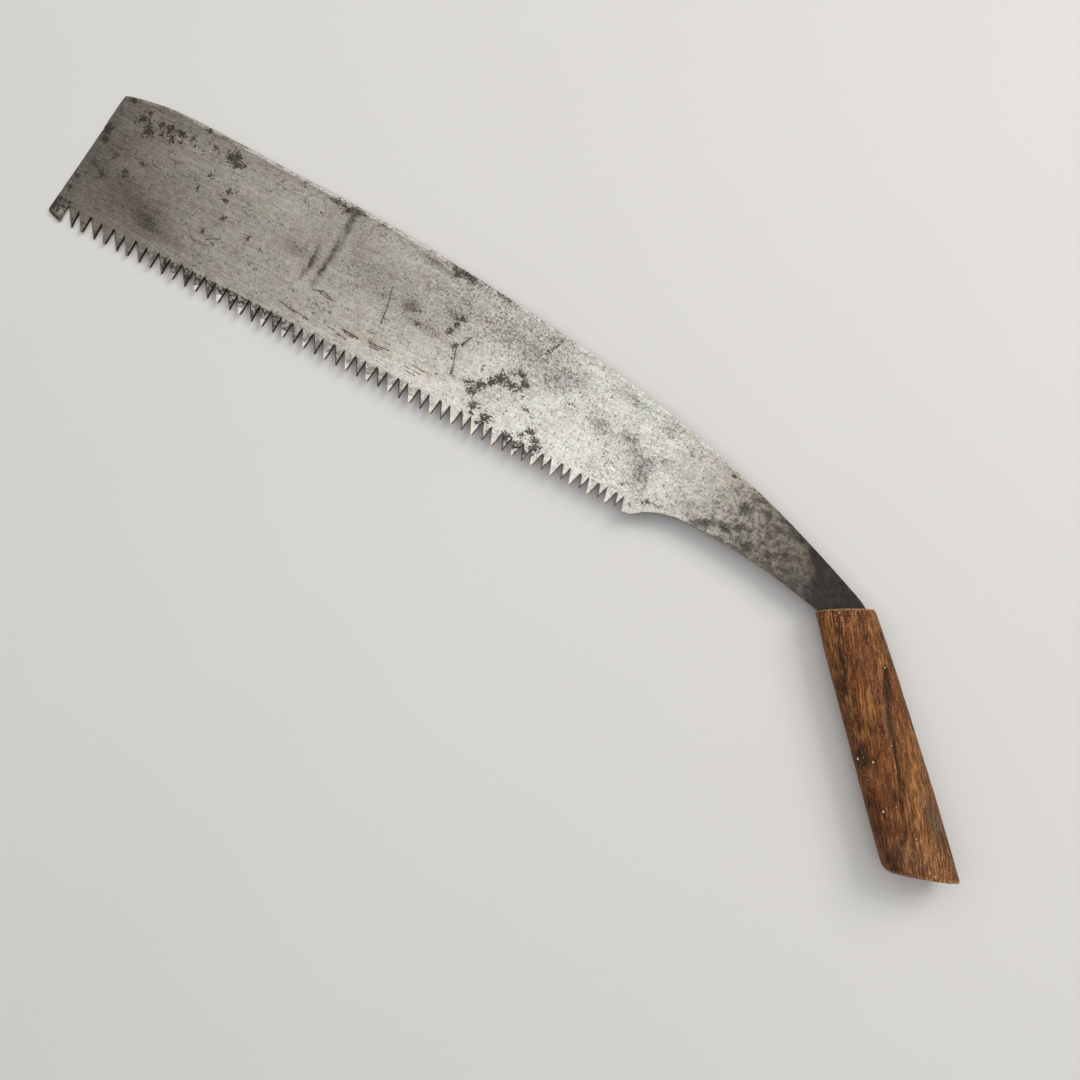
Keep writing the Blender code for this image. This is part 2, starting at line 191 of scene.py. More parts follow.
def blobs(x, y, patches):
    """Each patch's blob times its strength, one after the other."""
    return [strength * blob(x, y, *shape) for *shape, strength in patches]


def streak(x, y, path, width):
    """1 on a bent line through the path's points, falling to 0 over its width."""
    best = np.full(np.shape(x), 1e9)
    for (ax, ay), (bx, by) in zip(path, path[1:]):
        length = (bx - ax) ** 2 + (by - ay) ** 2
        share = np.clip(((x - ax) * (bx - ax) + (y - ay) * (by - ay)) / length, 0, 1)
        best = np.minimum(best, (x - ax - share * (bx - ax)) ** 2
                          + (y - ay - share * (by - ay)) ** 2)
    return np.exp(-best / width ** 2)


def lattice(outer, inner, stagger=0.0):
    """Points (outer, inner) of a grid whose every other row is shifted by the stagger."""
    grid_outer, grid_inner = np.meshgrid(outer, inner, indexing="ij")
    grid_inner = grid_inner + stagger * (np.arange(len(outer)) % 2)[:, None]
    return np.stack([grid_outer.ravel(), grid_inner.ravel()], -1)


def inside(loop, x, y):
    """Even-odd test of many points against a closed loop."""
    hit = np.zeros(len(x), bool)
    x1, y1 = loop[:, 0], loop[:, 1]
    x2, y2 = np.roll(x1, -1), np.roll(y1, -1)
    for k in range(0, len(x), 4000):
        px, py = x[k:k + 4000, None], y[k:k + 4000, None]
        crosses = (y1 > py) != (y2 > py)
        with np.errstate(divide="ignore", invalid="ignore"):
            at = x1 + (py - y1) * (x2 - x1) / (y2 - y1)
        hit[k:k + 4000] = (np.sum(crosses & (px < at), axis=1) % 2) == 1
    return hit


def nearest(tree, x, y):
    """Distance to, and index of, the nearest point of a tree."""
    found = [tree.find((a, b, 0.0)) for a, b in zip(x.tolist(), y.tolist())]
    return np.array([f[2] for f in found]), np.array([f[1] for f in found])


def triangulate(points, loops):
    """Triangles inside the closed loops, whose points come first, through all points."""
    edges, start = [], 0
    for count in loops:
        edges += [(start + k, start + (k + 1) % count) for k in range(count)]
        start += count
    flat = [Vector((float(x), float(y))) for x, y in points]
    made = delaunay_2d_cdt(flat, edges, [], 1, 1e-7)
    verts = np.array([tuple(v) for v in made[0]])
    if len(verts) != len(points) or np.abs(verts - points).max() > 1e-4:
        raise SystemExit("an outline crosses itself")
    return verts, np.array([tuple(f) for f in made[2] if len(f) == 3])


def ring_quads(first, second):
    """Faces between two closed rings of vertex indices."""
    return np.stack([first, np.roll(first, -1), np.roll(second, -1), second], -1).tolist()


def mesh_object(name, verts, faces, materials, sharp, index=None):
    """A closed, smooth mesh from design coordinates; edges past `sharp` degrees stay sharp."""
    mesh = bpy.data.meshes.new(name)
    mesh.from_pydata(((verts + ORIGIN) * MM).tolist(), [], faces)
    for material in materials:
        mesh.materials.append(material)
    if index is not None:
        mesh.polygons.foreach_set("material_index", np.asarray(index, np.int32))
    mesh.shade_smooth()
    mesh.set_sharp_from_angle(angle=math.radians(sharp))
    mesh.validate()
    mesh.update()
    edges = np.empty(len(mesh.loops), np.int32)
    mesh.loops.foreach_get("edge_index", edges)
    if (np.bincount(edges, minlength=len(mesh.edges)) != 2).any():
        raise SystemExit(f"{name}: some edges aren't shared by two faces")
    obj = bpy.data.objects.new(name, mesh)
    bpy.context.scene.collection.objects.link(obj)
    return obj


def set_fields(obj, fields):
    for name, values in fields.items():
        made = obj.data.attributes.new(name, "FLOAT", "POINT")
        made.data.foreach_set("value", np.asarray(values, np.float32))


# ------------------------------------------------------------------ blade outline
# Kinds of edge, and for each kind its rounding radius and its roughness.
TOE, TOOTH, HEEL, NECK_EDGE, TANG, SPINE_EDGE, TIP_EDGE = range(7)
RIM = np.array((0.4, 0.13, 0.3, 0.5, 0.25, 0.62, 0.5))
ROUGH = np.array((0.16, 0.035, 0.08, 0.09, 0.03, 0.13, 0.16))
# Dents: place (x on the spine, y on the tip's end), width, depth.
SPINE_DENTS = rows("""-606 1.1 0.5, -571 0.8 0.4, -548 1.6 0.5, -512 0.9 0.3, -463 1.2 0.45,
    -349 2.4 0.5, -338 1.4 0.45, -301 0.9 0.3, -261 0.8 0.55, -227 1.3 0.3, -176 0.9 0.3,
    -118 1.5 0.35""")
TIP_DENTS = rows("8 1.2 0.4, 31 1 0.35, 63 1.6 0.5, 69 1 0.4")


def tooth_lines():
    """The gullets' x, each tooth's tip corner on the heel side, and each tip's width."""
    i = np.arange(TEETH)
    pitch = (profile(PITCH, i)
             + PITCH_SWING * np.clip((i - 16) / 14.0, 0, 1) * np.where(i % 2, 1, -1))
    gullets = TOE_GULLET_X + np.concatenate([[0], np.cumsum(pitch)]) * (
        (HEEL_GULLET_X - TOE_GULLET_X) / pitch.sum())
    gullets[:4] -= FIRST_GULLETS_SHIFT
    x = lerp(gullets[:-1], gullets[1:], profile(LEAN, i))
    y = gullet_y(x) - profile(TOOTH_DEPTH, i)
    # even teeth near the heel are shorter and stand straighter
    short = np.where(i % 2, 0.0, 1.3 * smooth((i - 40) / 8.0))
    y = y + short
    x = lerp(x, gullets[:-1] + 0.5 * (gullets[1:] - gullets[:-1]), 0.10 * short)
    tips = np.stack([x + RNG.normal(0, 0.12, TEETH),
                     y + np.abs(RNG.normal(0, 0.22, TEETH))], -1)
    flats = TIP_FLAT + RNG.normal(0, 0.1, TEETH) + 0.25 * (i % 2)
    return gullets, tips, flats


def catmull(points, per_span):
    """A Catmull-Rom curve through the points."""
    points = np.vstack([points[0] * 2 - points[1], points, points[-1] * 2 - points[-2]])
    made = []
    for k in range(1, len(points) - 2):
        a, b, c, d = points[k - 1:k + 3]
        for f in np.arange(per_span) / per_span:
            made.append(0.5 * (2 * b + (c - a) * f + (2 * a - 5 * b + 4 * c - d) * f ** 2
                               + (3 * b - a - 3 * c + d) * f ** 3))
    made.append(points[-2])
    return made


def blade_outline(gullets, tips, flats):
    """Anticlockwise corners of the blade as (x, y), and the kind of edge each one starts."""
    points, kinds = [], []

    def add(items, kind):
        for x, y in items:
            points.append((float(x), float(y)))
            kinds.append(kind)

    def tang_edge(side, stations):
        return [from_handle(at, lerp(TANG_ROOT[side], TANG_TIP[side], at / TANG_LENGTH))
                for at in stations]

    def at_mouth(across):
        return from_handle(mouth_at(across) - GAP, across)

    add(TOE_BLOCK[::-1], TOE)
    for k in range(TEETH):
        gullet = (gullets[k] + (RNG.normal(0, 0.08) if k else 0),
                  gullet_y(gullets[k]) + 0.5 + RNG.normal(0, 0.18))
        add([gullet, (tips[k][0] - flats[k], tips[k][1]), tips[k]], TOOTH)
    add([(gullets[TEETH], gullet_y(gullets[TEETH]))], HEEL)
    add(HEEL_BLOCK, HEEL)
    inner_shoulder, outer_shoulder = at_mouth(-19.0), at_mouth(11.8)
    add(catmull(np.vstack([NECK, inner_shoulder]), 8)[:-1], NECK_EDGE)
    stations = (28.0, 60.0, 95.0, TANG_LENGTH - 3.0)
    add([inner_shoulder, at_mouth(TANG_ROOT[0])], TANG)
    add(tang_edge(0, stations), TANG)
    add([from_handle(TANG_LENGTH, TANG_TIP[0] + 2.5),
         from_handle(TANG_LENGTH, TANG_TIP[1] - 2.5)], TANG)
    add(tang_edge(1, stations[::-1]), TANG)
    add([at_mouth(TANG_ROOT[1])], TANG)
    add(catmull(np.vstack([SPINE, outer_shoulder]), 10)[::-1], SPINE_EDGE)
    add(TIP_END[::-1], TIP_EDGE)
    return np.array(points), np.array(kinds)


def worn_outline(points, kinds):
    """The outline in fine steps, with eased corners and rough edges, and the fewer steps
    that the mesh needs. Returns the mesh's loop and kinds, then the fine ones."""
    fine, kind = [], []
    for k in range(len(points)):
        a, b = points[k], points[(k + 1) % len(points)]
        count = max(1, int(math.ceil(np.linalg.norm(b - a) / 0.2)))
        for f in np.arange(count) / count:
            fine.append(lerp(a, b, f))
            kind.append(kinds[k])
    fine, kind = np.array(fine), np.array(kind)
    weights = np.array([0.25, 0.5, 0.25])
    for _ in range(3):
        fine = sum(w * np.roll(fine, o, axis=0) for w, o in zip(weights, (-1, 0, 1)))
    tangent = np.roll(fine, -2, axis=0) - np.roll(fine, 2, axis=0)
    tangent /= np.linalg.norm(tangent, axis=1)[:, None] + 1e-12
    outward = np.stack([tangent[:, 1], -tangent[:, 0]], -1)
    x, y = fine[:, 0], fine[:, 1]
    shift = ROUGH[kind] * (fbm(x, y, 3.0, size=4.5, seed=5)
                           + 0.9 * fbm(x, y, 9.0, size=18.0, seed=8, layers=2))
    for edge, place, dents in ((SPINE_EDGE, x, SPINE_DENTS), (TIP_EDGE, y, TIP_DENTS)):
        for at, width, depth in dents:
            dent = depth * np.exp(-((place - at) / width) ** 2)
            shift = shift - np.where(kind == edge, dent, 0.0)
    fine = fine + outward * shift[:, None]
    kept, last = [0], 0
    heading = np.unwrap(np.arctan2(tangent[:, 1], tangent[:, 0]))
    for k in range(1, len(fine)):
        step = 1.05 if kind[k] in (TOE, TOOTH, HEEL) else (3.0 if kind[k] == TANG else 1.35)
        gap = np.linalg.norm(fine[k] - fine[last])
        if gap >= step or (gap > 0.26 and abs(heading[k] - heading[last]) > 0.3):
            kept.append(k)
            last = k
    if np.linalg.norm(fine[kept[-1]] - fine[0]) < 0.3:
        kept.pop()
    return fine[kept], kind[kept], fine, kind


# ------------------------------------------------------------------ marks on the blade
# Patches, here and on the handle: centre, radii, turn in degrees, strength.
RUST = rows("""-540.7 88.9 4.3 4 0 1.3, -537 84.5 3 2.2 0 1.1, -532 86 2.2 2 0 1.15,
    -635.7 93.6 2.8 1.6 0 1, -618.6 90.3 1.9 2 0 0.9, -621.4 84 3.2 1.8 10 1,
    -625 79.6 1.6 1.2 0 0.8, -614.3 82 1.9 2.3 0 1, -612.1 77.6 3.8 3.2 0 1,
    -614.3 72.4 1.2 1 0 0.8, -605.7 86 1.8 2.2 30 1, -597.9 86.7 2.8 2.3 0 1,
    -601.4 79.6 2 1.7 0 0.95, -595.7 83.1 2 1.6 0 0.9, -592.1 79.4 2 2.5 20 1,
    -587.9 87.4 3.6 1.9 -10 1, -585 81 1.3 1.2 0 0.9, -578 88 1.4 1.9 0 0.9,
    -573.6 83.1 1.7 0.8 10 0.8, -569.3 98.6 1.9 1.5 0 1.1, -557.1 89.1 2.6 1.5 -35 0.85,
    -550 68.9 1.9 1.3 0 0.75, -531.4 63.1 2 2 0 0.95, -530 56.7 2.2 1.4 0 1.05,
    -525 67.4 1.8 0.8 15 0.75, -554.3 56 0.9 2.6 -35 0.62, -602.4 52.4 2.2 1.3 0 0.72,
    -625 49.6 1.9 2.4 0 0.72, -611.4 41 2.1 2.4 20 0.92, -635 36 1.3 1.3 0 0.85,
    -627.1 33.1 2.9 1.8 -25 0.72, -641.6 65 2.7 4.4 0 1.1, -639 57.4 3 2.4 0 0.95,
    -639.4 37 2 1.7 0 0.8, -643.6 23.1 1.6 1.5 0 0.85, -644.5 12 1.3 3 0 0.78,
    -520.7 24.6 2.4 0.9 25 0.7, -533.6 28.9 1.6 1.8 0 0.66, -523.6 44.6 0.9 3 -48 0.7,
    -648 -5 1.2 5 0 1.1, -643 -11.6 5.4 1.2 -14 1.15, -641.5 -2.5 2.6 1.1 0 0.72,
    -644.4 -4.5 1 2.4 20 0.8, -640 2.2 3 0.8 0 0.66, -637.8 -7 0.7 3.6 0 0.8,
    -642.6 -7 0.7 0.9 0 0.74, -646 1.6 1.6 1.4 0 0.76, -498.9 40.5 1.2 3.6 -20 0.95,
    -485.7 36 1.3 1 0 0.7, -459.3 80.3 1.9 1.2 0 0.8, -489 23.6 3 0.8 -14 0.72,
    -482.3 21.7 1.8 0.9 0 0.85, -428 19.6 1 1 0 0.95, -421.5 18.6 0.9 1.2 0 0.95,
    -415.8 18.9 1 0.9 0 0.95, -426.4 12.5 1.4 1 0 0.95, -415.6 11.6 0.9 0.9 0 0.85,
    -448.6 20.3 0.9 0.9 0 0.9, -382 19.6 2.2 1.2 0 0.76, -355 38.9 2.6 1.4 15 0.85,
    -358 49 2.4 0.9 0 0.8, -483.6 93.6 3.6 1.6 0 0.72, -451 93.4 4.2 2.4 0 0.82,
    -443 91.6 4 3.2 0 0.84, -433 93.6 4.4 2.2 0 0.92, -341.5 88 10.5 1.9 -8 1.35,
    -346.8 85.3 3.2 3 0 1.25, -336.2 86 4.6 2.2 -8 1.2, -308.5 85.2 7.5 1 -8 0.95,
    -297 83.4 3 0.9 -8 0.8, -412 92.6 3.4 0.9 -4 0.75, -328 57.6 3.3 2.4 20 1.05,
    -329 52 1.9 3.2 -15 1, -330.6 46.4 1.8 2.7 0 1.1, -322.6 38.4 2.9 2.1 0 1.15,
    -318.4 41.6 1.2 2.6 -45 0.95, -316 21 0.8 3.2 15 0.7, -320 29.5 0.8 4 22 0.7,
    -314.3 18.4 2.1 1.1 0 0.92, -324.3 14.3 1.2 1.3 0 0.85, -301.6 19.3 2.6 2 0 1.1,
    -293.6 20 3.2 3 0 1.2, -296.4 14.4 3.4 2.2 0 1.1, -290.2 23.4 2.2 2 40 1.15,
    -286.4 27.1 2.9 2.9 40 1.25, -282.1 32.1 3.8 4 0 1.35, -277 33.3 2.8 1.9 0 1.1,
    -272.1 30.8 3.8 2.6 0 1.2, -267.4 31.6 2.4 2.2 0 1, -264.6 35.9 3.2 2.6 15 1.15,
    -270.7 41.2 3.9 1.8 0 1.05, -275.6 40 1.8 1.2 0 0.85, -283 38 1.6 1.4 0 0.72,
    -262 28 1.4 1.4 0 0.7, -290 6.2 2.6 2.6 0 1.15, -289 1.4 1.9 1.1 0 1,
    -285 7.2 1.2 1.2 0 0.9, -277.9 2.8 3.8 3 -15 1.2, -280.9 -2.6 2.2 1.6 0 1.05,
    -270.7 -4.3 2.1 1.6 0 0.95, -245.2 8.6 3.1 1.8 0 1.15, -249.4 3.6 2 2 0 1.05,
    -239 4.2 3 2.2 0 1.15, -237 -0.2 3.2 3.4 0 1.15, -242.4 -5.6 2.4 3 0 1,
    -258.4 -3.4 3.2 3.9 0 1.15, -250.4 -5.4 3.6 3.4 0 1.1, -247 -1.2 1.8 1.8 0 0.85,
    -233 2 1.2 1.2 0 0.8, -229 -7 1.4 2 0 0.8, -256.4 75.4 0.8 2.4 -18 0.95,
    -258.6 69.6 0.9 3.6 -18 0.98, -261 63.6 1.2 2.4 -12 1.15, -301.4 72.9 0.8 2.6 0 0.72,
    -297.2 33.6 0.9 1.8 0 0.95, -255 20.7 3 2 0 0.66, -267.9 12.9 2.6 1.6 0 0.66,
    -228.6 37.9 3 1.6 0 0.62, -150.8 2.7 1.5 1.9 0 1.05, -153.4 0.6 1 0.9 0 0.9,
    -171.7 5.2 1.4 1 0 0.85, -160.6 -4 1.6 1.4 0 0.7, -147 18.5 1.1 0.9 0 0.85,
    -106.7 45.2 1.2 1.2 0 1.05, -189 58 1.4 1 0 0.7""")
# Half-dark patches with broken edges.
STAINS = rows("""-110 7.7 9 2.6 26 1.1, -96.7 11.5 4.6 3 -10 1.05, -90 28.5 4 3.6 0 1.1,
    -88 16 5 2.3 35 0.92, -77 7 4.4 2.5 -10 1.05, -84 10 3 2 0 0.85, -70 14 3.5 2 20 0.85,
    -63 8.5 4.4 2.2 0 0.9, -60 19 3 2 0 0.8, -73 24 3.4 2.5 0 0.78, -96 3.4 5 1.5 0 0.92,
    -82 2.5 5 1.4 0 0.95, -104 22 2.6 1.6 0 0.75, -100 37 3.4 2 0 0.85,
    -86 38 5 2.6 -20 0.98, -76 33 5 2.6 -20 0.92, -122 8 2.6 1.5 0 0.74,
    -114 16 2.2 1.5 0 0.75, -106 14 2.2 1.2 0 0.8, -50 4 4 2.4 0 0.85, -52 14 4 3 0 0.78,
    -66 27 5 2 -24 0.85, -92 20 2 2.6 0 0.8, -80 18 2.4 1.8 0 0.85, -165 22 5 8 10 0.62,
    -158 14 3.6 4.2 0 0.66, -174 30 5 4 0 0.76, -183 36 7 3 0 0.66, -204 35 5 5.4 0 0.66,
    -203 27 4 4 0 0.62, -152 33 6.5 2.6 20 0.74, -140 3.5 5 1.8 20 0.7, -192 48 3 2 0 0.66,
    -436.6 58 2 9 0 0.84, -447.6 45 1.6 6.5 4 1.02, -449 35 1.3 4 4 0.72,
    -449.2 55 1.3 3 0 0.7, -365 49 7 5 0 0.72, -356 40 5 2.6 0 0.82, -341 40 9 4 0 0.62,
    -336 58 6 4 0 0.55, -366 86.2 11 1.2 -6 0.92, -384 89 6 0.9 -5 0.8,
    -455 93.4 6 2.2 0 0.78, -440 92 5 3.4 0 0.82, -405 62 9 4 -8 0.58, -390 47 6 3 0 0.58,
    -462 49.5 9 2.2 -4 0.62""")
# Cloudy darker patches; negative ones are lighter.
HAZE = rows("""-584 19 30 12 -10 0.3, -575 15 10 13 -20 0.26, -562 12 16 3 -8 0.14,
    -606 32 22 9 -12 0.2, -628 60 14 24 0 0.16, -545 11 34 6 -8 0.16, -616 76 20 16 0 -0.12,
    -574 76 22 14 0 -0.28, -524 75 26 15 -10 -0.2, -528 28 24 16 0 0.05, -368 67 16 9 0 0.06,
    -560 44 22 12 0 -0.05, -484 76 20 13 0 -0.12, -408 28 26 17 0 -0.13,
    -462 49 17 5 -4 0.26, -404 60 28 14 -8 0.24, -386 46 14 7 0 0.16, -365 50 11 9 0 0.38,
    -362 70 20 6 -6 0.12, -366 84.5 14 2.6 -8 0.42, -346 40 17 8 0 0.34,
    -340 0 105 15 0 -0.46, -330 30 90 13 0 -0.14, -172 58 34 8 -12 0.14, -160 4 14 8 0 0.14,
    -640.6 -6.8 3.2 3.2 0 -1.3, -636 4 9 5 0 -0.18, -336 57 14 10 0 0.26, -345 72 18 5 0 0.08,
    -308 66 26 8 -8 0.05, -278 60 20 8 -12 0.3, -248 47 14 9 25 0.34, -232 56 14 6 0 0.22,
    -206 34 10 9 0 0.42, -183 36 9 5 0 0.34, -165 21 9 12 10 0.44, -152 30 9 6 0 0.22,
    -196 62 16 5 -14 0.18, -218 26 16 12 0 -0.12, -190 8 26 9 0 0.06, -250 70 24 7 -12 0.12,
    -260 12 24 12 0 -0.14, -340 12 30 12 0 -0.08, -300 44 12 10 0 -0.1, -136 40 16 8 0 0.1,
    -110.5 7.6 7.5 2.6 24 0.62, -96.7 11 4.4 3 -20 0.5, -90 28.5 4.2 3.8 0 0.55,
    -88 15 6 3.6 30 0.35, -77 7 4.6 2.6 0 0.45, -122 14 8 4 20 0.2""")
PITTED = rows("""-312 66 34 16 0 0.2, -262 62 40 14 0 0.2, -570 86 60 10 0 0.3,
    -426 16 12 8 0 0.45, -490 88 26 8 0 0.3, -408 90 22 7 0 0.3, -370 34 18 12 0 0.2,
    -165 21 12 13 0 0.36, -204 34 12 10 0 0.3, -140 2 22 5 0 0.36, -190 2 9 5 0 0.3,
    -282 10 26 10 0 0.26, -238 4 18 8 0 0.3""")
FILMED = rows("""-376 14 24 6 -6 0.34, -424 29 10 2.6 -12 0.3, -338 12 16 6 0 0.3,
    -330 92 22 4 -9 0.3, -645 0 10 14 0 0.3""")
# Dark vertical stains: path, width, strength.
BANDS = (
    (((-436.2, 96), (-436.4, 80), (-436.6, 60), (-437.2, 46), (-438.2, 32)), 3.0, 0.98),
    (((-435.2, 92), (-436.4, 66), (-438.0, 40)), 5.2, 0.20),
    (((-448.6, 58), (-447.4, 48), (-447.4, 42), (-449.4, 31)), 2.3, 0.92),
    (((-454, 60), (-447, 36)), 5.0, 0.15),
    (((-385, 58), (-380, 40), (-378.5, 27)), 0.6, 0.45),
)
# Thin dark scratches: path, width.
GOUGES = (
    (((-455.5, 9.2), (-449, 8.7), (-444.5, 7.6)), 0.50), (((-438, 7.7), (-428.8, 7.2)), 0.45),
    (((-444.5, 7.9), (-439.5, 7.6)), 0.75), (((-431, 6.2), (-427, 6.6)), 0.45),
    (((-401.5, 11.9), (-394, 11.4), (-387.4, 10.8)), 0.75), (((-399, 10.4), (-391, 9.9)), 0.5),
    (((-403.8, 7.3), (-395, 6.5)), 0.6), (((-380, 12.8), (-370, 13.0), (-362.6, 13.6)), 0.5),
    (((-378.5, 11.8), (-368, 11.6)), 0.45), (((-377.5, 10.0), (-370, 10.3)), 0.5),
    (((-436, 27.8), (-428, 30.0), (-419, 27.0)), 0.50), (((-431, 28.4), (-421, 26.6)), 0.40),
    (((-413, 9.0), (-407, 8.8)), 0.4), (((-348, 9.2), (-334, 8.4)), 0.40),
    (((-343, 12.2), (-329, 11.2)), 0.40), (((-346, 6.4), (-337, 6.0)), 0.40),
    (((-384.5, 55), (-380.5, 40), (-378.8, 28)), 0.40),
    (((-320.5, 35), (-318.5, 30), (-316.4, 25), (-315.6, 18)), 0.55),
    (((-318.5, 41), (-316.2, 46), (-314.8, 49.5)), 0.60),
    (((-528, 24.6), (-522, 28.0), (-517.6, 29.4)), 0.45),
    (((-606, 53.4), (-601, 52.0)), 0.40), (((-556, 59), (-553, 53.5)), 0.45),
    (((-527, 42), (-522, 47)), 0.5), (((-540, 21), (-531, 19.4), (-524, 20.6)), 0.30),
    (((-59, 11), (-52, 14.4)), 0.45),
)
# Values along the blade, toe to neck: x, value. The first table is how light the steel is: partly
# its own tone, and partly a painted reflection that brightens it from the toe towards the heel.
STEEL_TONE_AND_REFLECTION = rows("""-650 0.15, -630 0.165, -605 0.188, -575 0.225, -545 0.28, -515 0.315,
    -485 0.35, -450 0.355, -410 0.38, -370 0.43, -335 0.47, -300 0.52, -270 0.55, -240 0.61,
    -210 0.66, -180 0.645, -150 0.615, -130 0.515, -110 0.415, -90 0.345, -70 0.225,
    -50 0.165, -35 0.125, 0 0.08""")
PITTING = rows("""-650 0.2, -560 0.1, -500 0.12, -430 0.12, -370 0.2, -320 0.3, -260 0.26,
    -200 0.2, -150 0.22, -110 0.4, -70 0.55, -30 0.4""")
FILM = rows("""-650 0.26, -590 0.16, -500 0.08, -440 0.12, -380 0.16, -330 0.14, -260 0.06,
    -200 0.06, -150 0.1, -90 0.1, 0 0.05""")


def patch_field(x, y, patches, reach=1.6):
    """The strongest patch at each point. `reach` grows the radii that the list gives."""
    total = np.zeros(np.shape(x))
    for at_x, at_y, radius_x, radius_y, turn, strength in patches:
        strength = min(strength, 1.0) + 0.30 * max(strength - 1.0, 0.0)
        span = 4.0 * max(radius_x, radius_y)
        near = (np.abs(x - at_x) < span) & (np.abs(y - at_y) < span)
        total[near] = np.maximum(total[near], strength * blob(
            x[near], y[near], at_x, at_y, reach * radius_x, reach * radius_y, turn))
    return total


def scale_field(x, y):
    """Black forge scale: an arc near the handle and a thin tongue along the spine."""
    edge = -40.0 + 3.5 * fbm(x, y, 0.0, size=11.0, seed=71)
    spine_y = profile(SPINE, x)
    edge = edge - 14.0 * smooth((y - spine_y + 13.0) / 11.0)
    arc = smooth((x - edge) / 20.0)
    toward = smooth((x + 96.0) / 50.0)
    width = 1.2 + 5.5 * toward ** 2
    ragged = 1.6 * fbm(x, y, 5.0, size=5.0, seed=73)
    tongue = toward ** 0.5 * smooth((y - (spine_y - width - 1.5 + ragged)) / 5.0)
    return np.maximum(arc, 0.72 * tongue)


def band_field(x, y):
    band = np.zeros(len(x))
    broken = 0.75 + 0.6 * fbm(x / 0.7, y / 2.0, 0, size=4.0, seed=79)
    for path, width, strength in BANDS:
        top, bottom = path[0][1], path[-1][1]
        fade = smooth(1.5 - np.abs(y - (top + bottom) / 2) / abs(top - bottom) * 2.0)
        fade = 0.35 + 0.65 * fade
        band = np.maximum(band, strength * fade * broken * streak(x, y, path, width))
    return band


def pit_field(x, y):
    pits = profile(PITTING, x)
    pits = pits + (0.30 * smooth((x + 385) / 60) * smooth((-215 - x) / 50)
                   * smooth((y - 44 + 0.18 * (x + 330)) / 18))
    pits = pits + sum(blobs(x, y, PITTED))
    pits = pits + 0.14 * fbm(x, y, 0.0, size=22.0, seed=91, layers=2)
    return np.clip(pits - 0.30 * smooth((-y - 1.0) / 4.0), 0, 1.2)


def blade_fields(x, y, rim_gap, under):
    """What the steel's material reads at each vertex; `under` is 0 on the upper face."""
    top = under < 0.4
    haze = sum(blobs(x, y, HAZE))
    haze += 0.10 * fbm(x, y, 0.0, size=40.0, seed=81) + 0.08 * fbm(x, y, 0.0, size=14.0, seed=83)
    haze = np.where(top, haze, 0.18 + 0.42 * fbm(x, y, 50.0, size=48.0, seed=85, layers=4))
    mottle = smooth((x + 134.0) / 62.0) * (0.62 + 0.28 * smooth((14.0 - y) / 16.0))
    mottle = mottle * smooth((-22.0 - x) / 14.0) + 0.16 * blob(x, y, -122, 14, 14, 9)
    gouge = np.zeros(len(x))
    for path, width in GOUGES:
        gouge = np.maximum(gouge, streak(x, y, path, width))
    # dirt on a strip along the gullets, thickest in the middle of the toe's half
    soil = smooth((y + 12.0) / 3.0) * smooth((1.0 - y) / 3.6)
    grime = soil * (smooth((x + 562) / 22) * smooth((-425 - x) / 40)
                    + 0.55 * smooth((x + 600) / 50) * smooth((-290 - x) / 60))
    rust_under = 0.42 + 0.5 * fbm(x, y, 70.0, size=26.0, seed=95)
    stain_under = 0.40 + 0.5 * fbm(x, y, 80.0, size=34.0, seed=97)
    return {
        "tone": profile(STEEL_TONE_AND_REFLECTION, x), "haze": haze, "band": np.where(top, band_field(x, y), 0),
        "pits": pit_field(x, y), "mottle": np.where(top, mottle, mottle * 0.8),
        "rust": np.where(top, patch_field(x, y, RUST, reach=1.46), rust_under),
        "stain": np.where(top, patch_field(x, y, STAINS), stain_under),
        "scale": scale_field(x, y), "film": profile(FILM, x) + sum(blobs(x, y, FILMED)),
        "gouge": np.where(top, gouge, 0), "grime": np.clip(grime, 0, 1),
        "rim": np.minimum(rim_gap, 30.0), "under": under, "way": (x + 650.0) / 650.0,
    }


# ------------------------------------------------------------------ blade
def half_thickness(x, y):
    along = along_handle(x, y)
    plate = lerp(BLADE_T, NECK_T, smooth((x - THICKEN_FROM_X) / (0.0 - THICKEN_FROM_X)))
    tang = lerp(NECK_T, TANG_END_T, np.clip(along / TANG_LENGTH, 0, 1))
    return 0.5 * np.where(along > 0, tang, plate)


def tooth_fields(x, y, gullets, tips, flats):
    """For each point: how far down its tooth it is, the tooth's number, and its distances
    from the tooth's toe-side and heel-side edges."""
    deep, number = np.full(len(x), -1.0), np.full(len(x), -1)
    toe_side, heel_side = np.full(len(x), 99.0), np.full(len(x), 99.0)
    near = np.nonzero((y < 0.6) & (x < HEEL_GULLET_X + 2))[0]
    base = gullet_y(x[near])

    def edge_gap(at, gullet_x, tip_x, tip_y):
        way = np.array([tip_x - gullet_x, tip_y - gullet_y(gullet_x)])
        way /= np.linalg.norm(way)
        return np.abs((x[at] - gullet_x) * way[1] - (y[at] - gullet_y(gullet_x)) * way[0])

    for k in range(TEETH):
        tip_x, tip_y = tips[k]
        share = (base - y[near]) / (base - tip_y)
        left = lerp(gullets[k], tip_x - flats[k], share)
        right = lerp(gullets[k + 1], tip_x, share)
        mine = (x[near] >= left - 0.25) & (x[near] <= right + 0.25) & (share > -0.06)
        at = near[mine]
        deep[at] = share[mine]
        number[at] = k
        toe_side[at] = edge_gap(at, gullets[k], tip_x - flats[k], tip_y)
        heel_side[at] = edge_gap(at, gullets[k + 1], tip_x, tip_y)
    return deep, number, toe_side, heel_side


